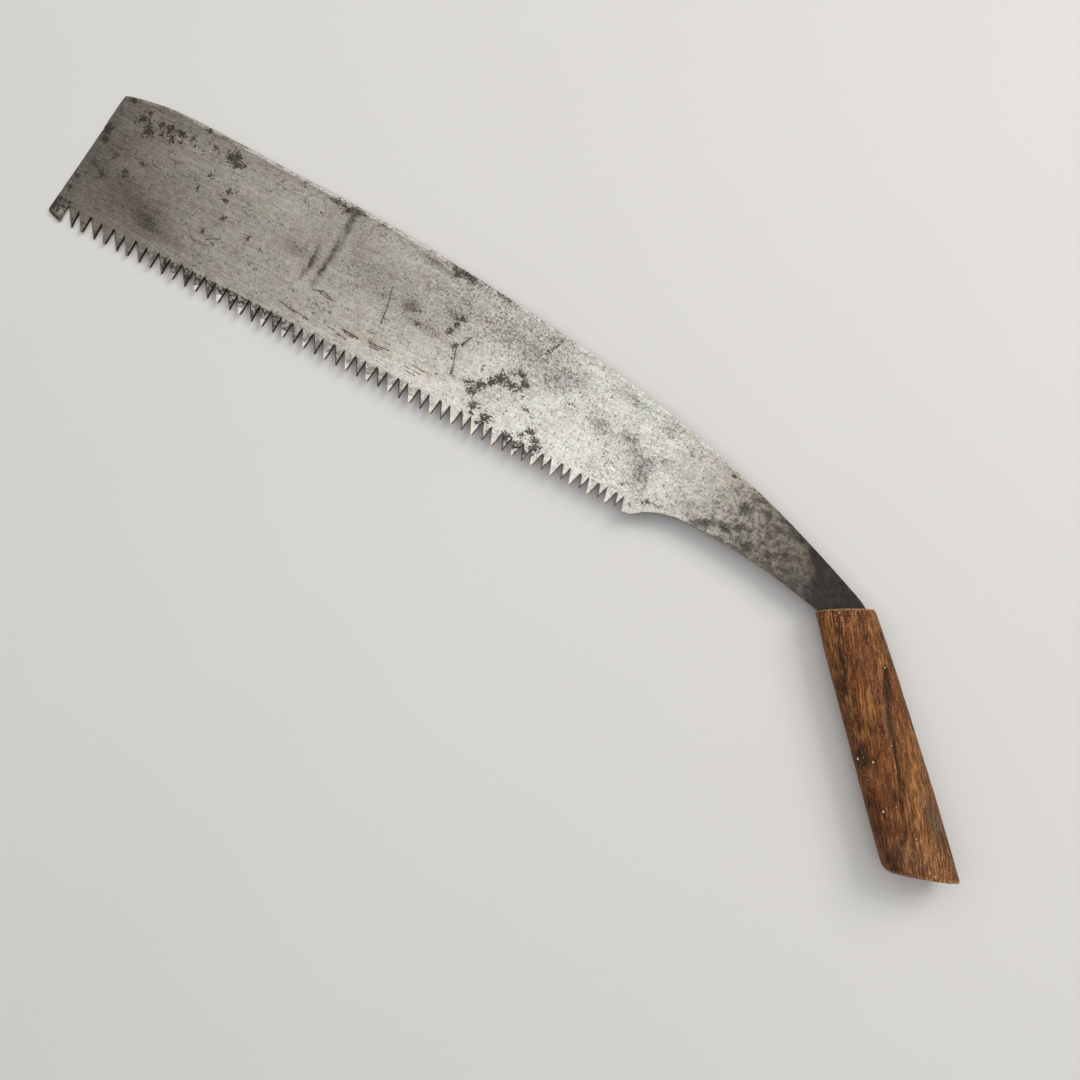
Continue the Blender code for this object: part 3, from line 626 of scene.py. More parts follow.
def blade_points(loop, kind, inward, fine, fine_kind, tree):
    """Points inside the loop: rings along the edges, staggered grids, rows at gouges."""
    rim = RIM[kind]
    toothed = (kind == TOOTH) | (kind == TOE)
    within = lambda points: inside(fine[::3], points[:, 0], points[:, 1])
    found = []
    for base, way, depth in (
        (loop[~toothed], inward[~toothed], 0.3 * rim[~toothed]),
        (loop, inward, rim),
        (loop, inward, np.where(toothed, FACET, rim + 0.75)),
    ):
        points = base + way * depth[:, None]
        gap, _ = nearest(tree, points[:, 0], points[:, 1])
        found.append(points[(gap > 0.8 * depth) & within(points)])
    fine_toothed = (fine_kind == TOOTH) | (fine_kind == TOE)
    fine_reach = np.where(fine_toothed, FACET, RIM[fine_kind] + 0.75)
    tooth_step, plate_step, handle_step = 1.0, 1.62, 2.6
    for step, y_low, y_high in ((tooth_step, -16.0, 3.0), (plate_step, 3.0, 103.0),
                                (handle_step, -100.0, -16.0)):
        points = lattice(np.arange(y_low, y_high, step * 0.87),
                         np.arange(-652.0, 110.0, step), 0.5 * step)[:, ::-1]
        if step == tooth_step:
            points = points[points[:, 0] < -150.0]
        points = points[within(points)]
        gap, near = nearest(tree, points[:, 0], points[:, 1])
        found.append(points[gap > fine_reach[near] + 0.45 * step])
    # the neck, between the teeth and the handle
    points = lattice(np.arange(-16.0, 3.0, 1.41), np.arange(-150.0, 20.0, plate_step))[:, ::-1]
    points = points[within(points)]
    gap, _ = nearest(tree, points[:, 0], points[:, 1])
    found.append(points[gap > 1.9])
    for path, _ in GOUGES:
        for (ax, ay), (bx, by) in zip(path, path[1:]):
            length = math.hypot(bx - ax, by - ay)
            count = max(2, int(length / 0.7))
            side = np.array([ay - by, bx - ax]) / length
            share = (np.arange(count) / count)[:, None]
            line = lerp(np.array([[ax, ay]]), np.array([[bx, by]]), share)
            found += [line - 0.5 * side, line, line + 0.5 * side]
    found = np.vstack(found)
    return found + RNG.uniform(-0.02, 0.02, found.shape)


def blade_surfaces(x, y, rim_gap, radius, teeth):
    """Heights of the bent mid-plane, and of the upper and lower faces from it."""
    deep, odd, even, toe_side = teeth
    free = smooth((-along_handle(x, y) - 2.0) / 60.0)      # 0 at the mouth, 1 on the plate
    half = half_thickness(x, y)
    inset = 1 - np.minimum(rim_gap / radius, 1.0)
    eased = radius * (1 - np.sqrt(np.clip(1 - inset ** 2, 0, 1)))
    thick = 0.035 * fbm(x, y, 1.0, size=13.0, seed=21, layers=2)
    bend = free * (0.16 * fbm(x, y, 2.0, size=95.0, seed=31, layers=2)
                   + 0.06 * fbm(x, y, 4.0, size=30.0, seed=35, layers=2))
    set_share = np.clip((deep - 0.58) / 0.42, 0, 1) ** 1.15
    bend = bend + TOOTH_SET * np.where(odd, 1, np.where(even, -1, 0)) * set_share
    wear = smooth((x + 640.0) / 500.0)
    top_grain = 0.03 * fbm(x, y, 6.0, size=5.0, seed=41, layers=2) * (1 - 0.5 * wear)
    low_grain = 0.03 * fbm(x, y, 8.0, size=5.0, seed=43, layers=2)
    top = half - eased + free * (thick + top_grain)
    low = -half + eased + free * (-thick + low_grain)
    # filed bevels: on the upper side of even teeth, on the lower side of odd ones
    bevel = np.clip(1 - toe_side / FACET, 0, 1) * smooth((deep + 0.02) / 0.14) * (2 * half - 0.55)
    top = np.where(even, np.minimum(top, half - bevel), top)
    low = np.where(odd, np.maximum(low, -half + bevel), low)
    # rust patches stand a little proud, and are pitted
    rust = patch_field(x, y, RUST)
    crust = free * smooth((rust - 0.35) / 0.3) * (
        0.05 + 0.09 * fbm(x, y, 12.0, size=2.6, seed=51, layers=2))
    return bend, top + crust * smooth(rim_gap / 1.2), low


def build_blade(materials):
    teeth = tooth_lines()
    loop, kind, fine, fine_kind = worn_outline(*blade_outline(*teeth))
    count = len(loop)
    tree = KDTree(len(fine))
    for k, (px, py) in enumerate(fine):
        tree.insert((px, py, 0.0), k)
    tree.balance()
    tangent = np.roll(loop, -1, axis=0) - np.roll(loop, 1, axis=0)
    tangent /= np.linalg.norm(tangent, axis=1)[:, None]
    inward = np.stack([-tangent[:, 1], tangent[:, 0]], -1)
    rest = blade_points(loop, kind, inward, fine, fine_kind, tree)
    points, tris = triangulate(np.vstack([loop, rest]), [count])
    x, y = points[:, 0], points[:, 1]
    total = len(x)

    rim_gap, near = nearest(tree, x, y)
    rim_gap[:count] = 0.0
    edge_kind = fine_kind[near]
    edge_kind[:count] = kind
    deep, number, toe_side, heel_side = tooth_fields(x, y, *teeth)
    odd = (number % 2 == 1) & (number >= 0)
    even = (number % 2 == 0) & (number >= 0)
    bend, top, low = blade_surfaces(x, y, rim_gap, RIM[edge_kind], (deep, odd, even, toe_side))

    # the upper face, the lower face, then a ring halfway down the wall
    verts = np.concatenate([
        np.stack([x, y, bend + top], -1),
        np.stack([x, y, bend + low], -1),
        np.column_stack([loop, bend[:count] + 0.5 * (top[:count] + low[:count])]),
    ])
    wall_out = 0.05 * fbm(loop[:, 0], loop[:, 1], 0.0, size=2.0, seed=61, layers=2)
    verts[2 * total:, :2] -= inward * wall_out[:, None]
    ring = np.arange(count)
    faces = (tris.tolist() + (tris[:, ::-1] + total).tolist()
             + ring_quads(2 * total + ring, ring) + ring_quads(total + ring, 2 * total + ring))
    index = np.concatenate([np.zeros(2 * len(tris), int), np.ones(2 * count, int)])
    obj = mesh_object("saw_blade", verts, faces, materials, sharp=38, index=index)

    layered = lambda values: np.concatenate([values, values, values[:count]])
    under = np.concatenate([np.zeros(total), np.ones(total), np.full(count, 0.5)])
    set_fields(obj, blade_fields(layered(x), layered(y), layered(rim_gap), under) | {
        "deep": layered(deep),
        "odd": layered(np.where(odd, 1.0, np.where(even, -1.0, 0.0))),
        "toe_side": layered(toe_side),
        "heel_side": layered(heel_side),
        "spine_rim": layered(np.where(edge_kind == SPINE_EDGE, 1.0, 0.0)),
    })
    return obj


# ------------------------------------------------------------------ handle
AROUND = 236
GRAIN_TURN = math.radians(-8.5)     # the grain runs out across the handle
MOUTH_RIM, BUTT_RIM_SPINE, BUTT_RIM_INNER = 1.1, 1.7, 5.2
# Dark streaks on the upper side: along, across.
STREAK = rows("""40 11.5, 45 10.6, 52 8.8, 60 6.4, 68 5, 76 3.9, 85 3, 95 2.3, 106 1,
    115 -0.6, 125 -2.4, 134 -3.6, 141 -4, 147 -5.6, 150 -10""")
STREAK_LOW = rows("4 -10.5, 14 -12.2, 24 -13.6, 34 -14.4, 44 -16, 54 -18.6")
STREAK_END = rows("140 -4, 147 -6, 150 -10, 151 -15")
# Dents on the upper side: along, across, radius, depth.
DENTS = rows("""42.6 11 1.1 0.3, 128 -14.4 0.9 0.5, 97 -12.2 0.7 0.4, 107.3 -18.1 0.9 0.5,
    150 3 2.6 0.22, 22 3 2.2 0.18, 61 -2.5 2.8 0.2, 118 11 3.2 0.2, 66 -8 4 0.2""")
# Drying checks on the sides and underside: z, across, start and end along, depth.
CHECKS = rows("-6 21 60 140 0.45, 3 -21 20 92 0.4, -17 6 30 120 0.5, -17 -9 96 168 0.4")
# Colour patches on the upper side.
DARK = rows("""53 8.3 12.5 2.9 -16 1.15, 46 10.6 5 1.9 -10 0.8, 32 -14 12 1.9 -6 1.05,
    156 -13 13 8 -10 0.54, 149 -8.5 5 4 0 0.6, 92 -16.5 10 5 -8 0.8, 20 4 12 2 -8 0.36""")
# The pale patches are partly worn wood and, on the spine's side, partly a painted highlight where a
# flatter upper face turns to the lamp.
TAN_AND_HIGHLIGHT = rows("""122 8 22 4.4 -8 1, 138 3.6 16 3 6 0.6, 65 -8 9 3.6 -14 0.8, 60 -16 16 3 -4 0.45,
    12 -17 22 2.4 -4 0.65, 106 15 20 4 -3 0.6, 20 12 20 4 0 0.45, 94 9 22 4 0 0.35,
    168 8 12 8 0 0.4""")
GREY = rows("141 15 19 3.6 4 1.2, 76 3.6 11 2.4 -8 0.9, 160 -8 12 12 0 0.45, 164 12 12 4 0 0.3")
OLIVE = rows("14 -16 30 5 0 0.8, 62 -9 16 6 0 0.6, 92 -14 14 6 0 0.5")
RED = rows("28 2 24 8 0 0.55, 88 -5 26 7 0 0.4, 124 -11 26 8 0 0.7, 60 13 16 3 0 0.4")
# Pale flecks on the upper side: along, across, radius.
FLECKS = rows("""41.4 11.2 0.85, 96.9 -12.1 0.8, 93 -17 0.5, 107.3 -18.1 0.6, 99.4 -18.1 0.5,
    93.4 -20 1, 128 -14.3 0.9, 89.4 1.1 0.42, 126.6 -6 0.36, 148 0.4 0.4, 104 -19.2 0.36,
    43.7 -1.7 0.3""")


def section(along):
    """Centre offset, half width and half thickness of the handle."""
    dense = np.linspace(-20.0, 205.0, 226)
    found = []
    for column in (1, 2, 3):
        row = np.interp(dense, SECTIONS[:, 0], SECTIONS[:, column])
        for _ in range(40):
            row[1:-1] = 0.25 * row[:-2] + 0.5 * row[1:-1] + 0.25 * row[2:]
        found.append(np.interp(along, dense, row))
    return found


def surface_z(along, across):
    """How high the handle's plain oval stands."""
    centre, wide, thick = section(along)
    rise = max(0.0, 1.0 - abs((across - centre) / wide) ** SECTION_POWER)
    return float(thick * rise ** (1.0 / SECTION_POWER))


def handle_rows():
    """Each row's part of the handle, share of the side, and turn round the end's rim."""
    return ([("mouth", 0.0, turn) for turn in (90.0, 60.0, 30.0, 0.0)]
            + [("side", share, 0.0) for share in np.linspace(0.0, 1.0, 262)[1:-1]]
            + [("butt", 1.0, turn) for turn in (0.0, 15.0, 30.0, 45.0, 60.0, 75.0, 90.0)])


def handle_shape():
    """(rows, around, 3) points as along, across, z before the wood's relief."""
    angle = np.arange(AROUND) * 2 * math.pi / AROUND
    power = 2.0 / SECTION_POWER
    cos, sin = np.cos(angle), np.sin(angle)
    wide_share = np.sign(cos) * np.abs(cos) ** power
    thick_share = np.sign(sin) * np.abs(sin) ** power
    butt_rim = lerp(BUTT_RIM_INNER, BUTT_RIM_SPINE, smooth(0.5 + 0.7 * wide_share))
    mouth = mouth_at(wide_share * MOUTH_HALF_WIDTH)
    butt = butt_at(wide_share * BUTT_HALF_WIDTH)
    made = []
    for part, share, turn in handle_rows():
        rim = {"mouth": MOUTH_RIM, "butt": butt_rim, "side": 0.0}[part]
        inset = rim * (1 - math.cos(math.radians(turn)))
        setback = rim * (1 - math.sin(math.radians(turn)))
        if part == "mouth":
            guess = mouth + setback
        elif part == "butt":
            guess = butt - setback
        else:
            guess = lerp(mouth + MOUTH_RIM, butt - butt_rim, share)
        centre, wide, thick = section(guess)
        across = centre + wide_share * (wide - inset)
        if part == "mouth":
            along = mouth_at(across) + setback
        elif part == "butt":
            along = butt_at(across) - setback
        else:
            along = lerp(mouth_at(across) + MOUTH_RIM, butt_at(across) - butt_rim, share)
        made.append(np.stack([along, across, thick_share * (thick - inset)], -1))
    return np.array(made)


def wood_relief(along, across, z):
    """How far the weathered wood stands out from the plain oval, in mm."""
    cos, sin = math.cos(GRAIN_TURN), math.sin(GRAIN_TURN)
    with_grain = along * cos + across * sin
    over_grain = -along * sin + across * cos
    upper = z > 0
    # hand-shaped swells, raised grain twice, fine roughness
    out = 0.34 * fbm(along, across, z, size=40.0, seed=101, layers=2)
    out = out + 0.20 * fbm(with_grain / 10.0, over_grain / 2.6, z / 2.6, size=1.0, seed=103)
    out = out + 0.13 * fbm(with_grain / 16.0, over_grain / 1.2, z / 1.2, size=1.0, seed=105,
                           layers=2)
    out = out + 0.08 * fbm(along, across, z, size=3.0, seed=106)
    line = (streak(along, across, STREAK, 0.8) * smooth((along - 34) / 10)
            * smooth((152 - along) / 12))
    for depth, mark in ((0.50, line), (0.35, blob(along, across, 53.5, 8.4, 11.0, 2.2, -15)),
                        (0.30, streak(along, across, STREAK_LOW, 1.0))):
        out = out - np.where(upper, depth * mark, 0.0)
    knot = blob(along, across, 92.0, -16.4, 9.0, 4.6, -8) * upper
    out = out + knot * (0.60 * fbm(along, across, z, size=3.0, seed=107) - 0.30)
    out = out + np.where(upper, 0.28 * blob(along, across, 93, -10.4, 7, 1.6), 0.0)
    for at_along, at_across, radius, depth in DENTS:
        dent = depth * blob(along, across, at_along, at_across, radius, radius)
        out = out - np.where(upper, dent, 0.0)
    for check_z, check_across, start, stop, depth in CHECKS:
        if abs(check_z) > 15:
            wander = 0.8 * fbm(along, 0, 0, size=22.0, seed=109, layers=2)
            gap = np.hypot(across - check_across + wander - 0.06 * (along - 90), z - check_z)
        else:
            wander = 0.9 * fbm(along, 0, 0, size=25.0, seed=111, layers=2)
            gap = np.hypot(z - check_z + wander, (across - check_across) * 0.4)
        out = out - (depth * np.exp(-(gap / 0.8) ** 2) * smooth((along - start) / 14)
                     * smooth((stop - along) / 14))
    return out


def worn_handle():
    """The handle's rows of points with relief and chipped ends, and which rows are ends."""
    shape = handle_shape()
    middle = len(shape) // 2
    out = np.cross(np.roll(shape, -1, axis=1) - np.roll(shape, 1, axis=1),
                   np.gradient(shape, axis=0))
    out /= np.linalg.norm(out, axis=2)[..., None] + 1e-9
    if np.mean(out[middle, :, 2] * shape[middle, :, 2]) < 0:
        out = -out
    relief = wood_relief(*np.moveaxis(shape, -1, 0))
    hold = np.array([{"mouth": 0.25 + 0.5 * (1 - turn / 90), "side": 1.0,
                      "butt": 0.4 + 0.6 * (1 - turn / 90)}[part]
                     for part, _, turn in handle_rows()])
    ends = np.array([1.0 if part != "side" else 0.0 for part, _, _ in handle_rows()])
    chips = fbm(shape[..., 0] * 0.3, shape[..., 1], shape[..., 2], size=3.4, seed=121)
    chipped = ends[:, None] * 0.22 * np.clip(chips, 0, 1) ** 1.2
    return shape + out * (relief * hold[:, None] - chipped)[..., None], ends


class Shell:
    """A mesh in the handle's coordinates, grown part by part."""

    def __init__(self):
        self.parts, self.faces, self.count = [], [], 0

    def add(self, points):
        """Adds vertices and returns their indices."""
        self.parts.append(points)
        self.count += len(points)
        return np.arange(self.count - len(points), self.count)


def add_cap(shell, ring, loop, end_at, facing, seed, hole=None):
    """A flat end on a ring of indices: an even spread of points, and a hole if given.
    Returns the indices of its own points, the hole's first."""
    centre = loop.mean(0)
    rings = [centre + (loop - centre) * share for share in (0.985, 0.955)]
    spread = lattice(np.arange(-24.0, 24.0, 0.95), np.arange(-20.0, 20.0, 0.85), 0.42)
    spread = spread[inside(centre + (loop - centre) * 0.93, spread[:, 0], spread[:, 1])]
    holes = []
    if hole is not None:
        holes = [hole]
        near = np.array([np.min(np.hypot(*(hole - point).T)) for point in spread])
        spread = spread[~inside(hole, spread[:, 0], spread[:, 1]) & (near > 0.5)]
    points, tris = triangulate(np.vstack([loop] + holes + rings + [spread]),
                               [len(loop)] + [len(h) for h in holes])
    if hole is not None:
        middle = points[tris].mean(1)
        tris = tris[~inside(hole, middle[:, 0], middle[:, 1])]
    own = points[len(loop):]
    edge = np.abs(np.linalg.norm((own - centre) / (loop.max(0) - centre), axis=1) - 1)
    sawn = (0.10 * fbm(own[:, 0] * 0.25, own[:, 1], 0.0, size=1.3, seed=seed, layers=2)
            + 0.12 * fbm(own[:, 0], own[:, 1], 0, size=7.0, seed=seed + 3, layers=2))
    along = end_at(own[:, 0]) + facing * sawn * smooth(edge / 0.12)
    if hole is not None:
        along[:len(hole)] = end_at(own[:len(hole), 0])
    fresh = shell.add(np.column_stack([along, own]))
    faces = np.concatenate([ring, fresh])[tris]
    shell.faces += (faces[:, ::-1] if facing < 0 else faces).tolist()
    return fresh


NO_LIP = 0.05     # the mortise's lip past the wedge's end


def wedge_lip(along):
    """How far the mortise reaches below the tang to hold the wedge."""
    return max(NO_LIP, lerp(WEDGE_T_MOUTH, WEDGE_T_END, along / WEDGE_LENGTH) + GAP)


def slot(along, lip):
    """The mortise's corners as across, z."""
    share = along / TANG_LENGTH
    inner = lerp(TANG_ROOT[0], TANG_TIP[0], share) - GAP
    outer = lerp(TANG_ROOT[1], TANG_TIP[1], share) + GAP
    half = 0.5 * lerp(NECK_T, TANG_END_T, share) + GAP
    wedge_share = min(1.0, along / WEDGE_LENGTH)
    left = max(lerp(WEDGE_ROOT[0], WEDGE_TIP[0], wedge_share) - GAP, inner + 0.4)
    right = min(lerp(WEDGE_ROOT[1], WEDGE_TIP[1], wedge_share) + GAP, outer - 0.4)
    return np.array([(inner, -half), (left, -half), (left, -half - lip), (right, -half - lip),
                     (right, -half), (outer, -half), (outer, half), (inner, half)])


def slot_walk(along, lip):
    """The mortise's outline in steps of about 1 mm, as many at each depth as at the mouth."""
    at_mouth, here = slot(0.0, wedge_lip(0.0)), slot(along, lip)
    points = []
    for a in range(len(here)):
        b = (a + 1) % len(here)
        count = max(1, int(np.linalg.norm(at_mouth[b] - at_mouth[a])))
        points += [lerp(here[a], here[b], f) for f in np.arange(count) / count]
    return np.array(points)


def add_mortise(shell, ring):
    """The mortise's walls and end, starting from its ring in the mouth."""
    lipped_to = WEDGE_LENGTH + 2.0
    for along in (8.0, 22.0, 36.0, 50.0, lipped_to, WEDGE_LENGTH + 2.3, 80.0, 98.0, 115.0,
                  TANG_LENGTH + 4.0):
        points = slot_walk(along, wedge_lip(along) if along <= lipped_to else NO_LIP)
        slope = mouth_at(points[:, 0]) * max(0.0, 1 - along / 30.0)
        fresh = shell.add(np.column_stack([along + slope, points]))
        shell.faces += np.stack([ring, fresh, np.roll(fresh, -1), np.roll(ring, -1)], -1).tolist()
        ring = fresh
    shell.faces.append(ring[::-1].tolist())


def handle_fields(along, across, z, end_rows):
    """What the wood's material reads at each vertex."""
    from_mouth = along - mouth_at(across)
    from_butt = butt_at(across) - along
    upper = smooth((z + 2.0) / 6.0)
    line = (streak(along, across, STREAK, 1.05) * smooth((along - 36) / 8)
            * smooth((156 - along) / 12))
    wide = (streak(along, across - 0.6, STREAK, 2.2) * smooth((along - 50) / 12)
            * smooth((120 - along) / 40))
    low = (streak(along, across, STREAK_LOW, 1.15) * smooth((64 - along) / 20)
           * smooth((along - 2) / 14))
    dark = upper * np.max([line, 0.62 * wide, 0.95 * low,
                           0.50 * streak(along, across, STREAK_END, 2.0),
                           *blobs(along, across, DARK)], axis=0)
    under = 0.5 * smooth(fbm(along / 5, across, z, size=9.0, seed=151, layers=2))
    # the outer rims of both ends
    at_mouth = (np.exp(-(from_mouth / 0.9) ** 2)
                * smooth((np.hypot(across / 18, z / 17) - 0.84) / 0.12))
    at_butt = (np.exp(-(from_butt / 1.3) ** 2)
               * smooth((np.hypot(across / 21, z / 17.8) - 0.84) / 0.12))
    return {
        # painted shade: the upper side darkens towards the inner edge, away from the lamp
        "shade": upper * smooth((-across - 8.0) / 14.0),
        "dark": np.maximum(dark, (1 - upper) * under),
        "tan_and_highlight": upper * sum(blobs(along, across, TAN_AND_HIGHLIGHT)),
        "grey": upper * sum(blobs(along, across, GREY)) + 0.25 * (1 - upper),
        "olive": upper * sum(blobs(along, across, OLIVE)),
        "red": upper * sum(blobs(along, across, RED)),
        "worn": np.clip(np.maximum(at_mouth, at_butt), 0, 1),
        "ends": np.where((from_mouth < 0.6) | (from_butt < 0.6), 1.0, 0.0) * (1 - end_rows * 0.5),
        "mouth_near": np.exp(-np.clip(from_mouth, 0, 99) / 14.0),
        "butt_near": np.exp(-np.clip(from_butt, 0, 99) / 22.0) * smooth((across + 12) / 12),
    }


def build_handle(material):
    shape, ends = worn_handle()
    shell = Shell()
    rings = shell.add(shape.reshape(-1, 3)).reshape(-1, AROUND)
    for ring, following in zip(rings, rings[1:]):
        shell.faces += ring_quads(ring, following)
    hole = slot_walk(0.0, wedge_lip(0.0))
    mouth = add_cap(shell, rings[0], shape[0][:, 1:], mouth_at, facing=-1, seed=131, hole=hole)
    add_cap(shell, rings[-1], shape[-1][:, 1:], butt_at, facing=1, seed=141)
    add_mortise(shell, mouth[:len(hole)])
    along, across, z = np.vstack(shell.parts).T
    obj = mesh_object("saw_handle", np.column_stack([from_handle(along, across), z]),
                      shell.faces, [material], sharp=55)
    end_rows = np.zeros(len(along))
    end_rows[:rings.size] = np.repeat(ends, AROUND)
    set_fields(obj, handle_fields(along, across, z, end_rows))
    return obj


# ------------------------------------------------------------------ material writer
def srgb(red, green, blue):
    """A colour given in everyday 0-255 values, as the linear numbers that shaders take."""
    c = np.array([red, green, blue], float) / 255.0
    c = np.where(c <= 0.04045, c / 12.92, ((c + 0.055) / 1.055) ** 2.4)
    return (float(c[0]), float(c[1]), float(c[2]), 1.0)


def operation(kind, swapped=False):
    """A Signal's method that makes a maths node of this kind."""
    def apply(self, other):
        return self.graph.math(kind, *((other, self) if swapped else (self, other)))
    return apply


class Signal:
    """A node's output. Arithmetic and comparisons on signals make maths nodes."""

    def __init__(self, graph, socket):
        self.graph, self.socket = graph, socket

    __add__, __radd__ = operation("ADD"), operation("ADD", swapped=True)
    __sub__, __rsub__ = operation("SUBTRACT"), operation("SUBTRACT", swapped=True)
    __mul__, __rmul__ = operation("MULTIPLY"), operation("MULTIPLY", swapped=True)
    __gt__, __lt__ = operation("GREATER_THAN"), operation("LESS_THAN")
    maximum = operation("MAXIMUM")

    def fit(self, low, high, to=(0.0, 1.0), kind="SMOOTHSTEP"):
        """The range from low to high mapped onto the range `to`."""
        return self.graph.make("ShaderNodeMapRange", {
            "Value": self, "From Min": low, "From Max": high, "To Min": to[0],
            "To Max": to[1]}, "Result", interpolation_type=kind)

    def mix(self, first, second, blend="MIX"):
        """Two colours mixed by this share of the second."""
        return self.graph.mix(self, first, second, blend)

    def blend(self, first, second):
        """Two numbers mixed by this share of the second."""
        return self.graph.make("ShaderNodeMix", {0: self, 2: first, 3: second},
                               data_type="FLOAT", clamp_factor=True)

    def multiply(self, colour):
        return self.graph.mix(1.0, self, colour, "MULTIPLY")

    def tint(self, share, colour):
        """This colour, multiplied by another where the share is 1."""
        return share.mix(self, self.multiply(colour))

    def cover(self, share, colour):
        """This colour, covered by another where the share is 1."""
        return share.mix(self, colour)

    def stretch(self, scale=(1, 1, 1), turn=0.0):
        """This vector scaled and turned about z, in radians."""
        return self.graph.make("ShaderNodeMapping", {
            "Vector": self, "Scale": scale, "Rotation": (0, 0, turn)})

    def noise(self, size, detail, rough):
        return self.graph.make("ShaderNodeTexNoise", {
            "Vector": self, "Scale": 1.0 / size, "Detail": detail, "Roughness": rough})

    def drawn(self, scale, turn, detail, rough):
        """Noise on the vector scaled and turned by degrees."""
        return self.stretch(scale, math.radians(turn)).noise(1.0, detail, rough)

    def grain(self, length, width, detail, rough):
        """Noise drawn out along x."""
        return self.drawn((1 / length, 1 / width, 1 / width), 0.0, detail, rough)

    def warp(self, size, by):
        """This vector, shaken by noise of this size by this many mm."""
        make = self.graph.make
        shake = make("ShaderNodeTexNoise", {"Vector": self, "Scale": 1.0 / size, "Detail": 2.0},
                     "Color")
        centred = make("ShaderNodeVectorMath", {0: shake, 1: (0.5, 0.5, 0.5)},
                       operation="SUBTRACT")
        grown = make("ShaderNodeVectorMath", {0: centred, "Scale": by * 2.0},
                     operation="SCALE")
        return make("ShaderNodeVectorMath", {0: self, 1: grown}, operation="ADD")

    def separate(self):
        node = self.graph.node("ShaderNodeSeparateXYZ", {0: self})
        return [Signal(self.graph, output) for output in node.outputs]

    def bump(self, distance, strength):
        """A normal from this height, with the distance in mm."""
        return self.graph.make("ShaderNodeBump", {
            "Strength": strength, "Distance": distance * MM, "Height": self})


class Graph:
    """A material under construction."""

    def __init__(self, name):
        self.material = bpy.data.materials.new(name)
        self.material.use_nodes = True
        self.tree = self.material.node_tree
        self.tree.nodes.clear()
        out = self.node("ShaderNodeOutputMaterial")
        self.bsdf = self.node("ShaderNodeBsdfPrincipled")
        self.tree.links.new(self.bsdf.outputs[0], out.inputs["Surface"])

    def put(self, socket, value):
        if isinstance(value, Signal):
            self.tree.links.new(value.socket, socket)
        else:
            socket.default_value = value

    def node(self, kind, inputs={}, **settings):
        made = self.tree.nodes.new(kind)
        for key, value in settings.items():
            setattr(made, key, value)
        for key, value in inputs.items():
            self.put(made.inputs[key], value)
        return made

    def make(self, kind, inputs, output=0, **settings):
        """One output of a new node."""
        return Signal(self, self.node(kind, inputs, **settings).outputs[output])

    def math(self, kind, first, second=0.0):
        return self.make("ShaderNodeMath", {0: first, 1: second, 2: 0.0}, operation=kind)

    def mix(self, share, first, second, blend="MIX"):
        return self.make("ShaderNodeMix", {0: share, 6: first, 7: second}, 2,
                         data_type="RGBA", blend_type=blend, clamp_factor=True)

    def field(self, name):
        return self.make("ShaderNodeAttribute", {}, "Fac", attribute_name=name)

    def ramp(self, value, stops):
        made = self.node("ShaderNodeValToRGB", {0: value})
        elements = made.color_ramp.elements
        while len(elements) < len(stops):
            elements.new(0.5)
        for element, (at, colour) in zip(elements, stops):
            element.position = at
            element.color = colour
        return Signal(self, made.outputs[0])

    def object_point(self):
        return self.make("ShaderNodeTexCoord", {}, "Object")

    def point(self):
        """The shading point in design coordinates."""
        return self.make("ShaderNodeVectorMath", {
            0: self.object_point(), 1: (1000.0, 1000.0, 1000.0), 2: (-ORIGIN).tolist()},
            operation="MULTIPLY_ADD")

    def finish(self, colour, rough, specular, metal=0.0, normal=None):
        for name, value in (("Base Color", colour), ("Roughness", rough), ("Metallic", metal),
                            ("Specular IOR Level", specular)):
            self.put(self.bsdf.inputs[name], value)
        if normal is not None:
            self.put(self.bsdf.inputs["Normal"], normal)
        return self.material


# ------------------------------------------------------------------ steel
# Brightness and its colour.
STEEL_STOPS = (
    (0.00, srgb(22, 19, 17)), (0.06, srgb(62, 55, 48)), (0.15, srgb(110, 102, 92)),
    (0.30, srgb(149, 143, 133)), (0.45, srgb(177, 173, 164)), (0.62, srgb(205, 203, 196)),
    (0.80, srgb(228, 227, 222)), (1.00, srgb(246, 245, 241)),
)
LOWER_FACE_SHIFT = (413.0, 777.0, 51.0)    # so that the two faces wear differently


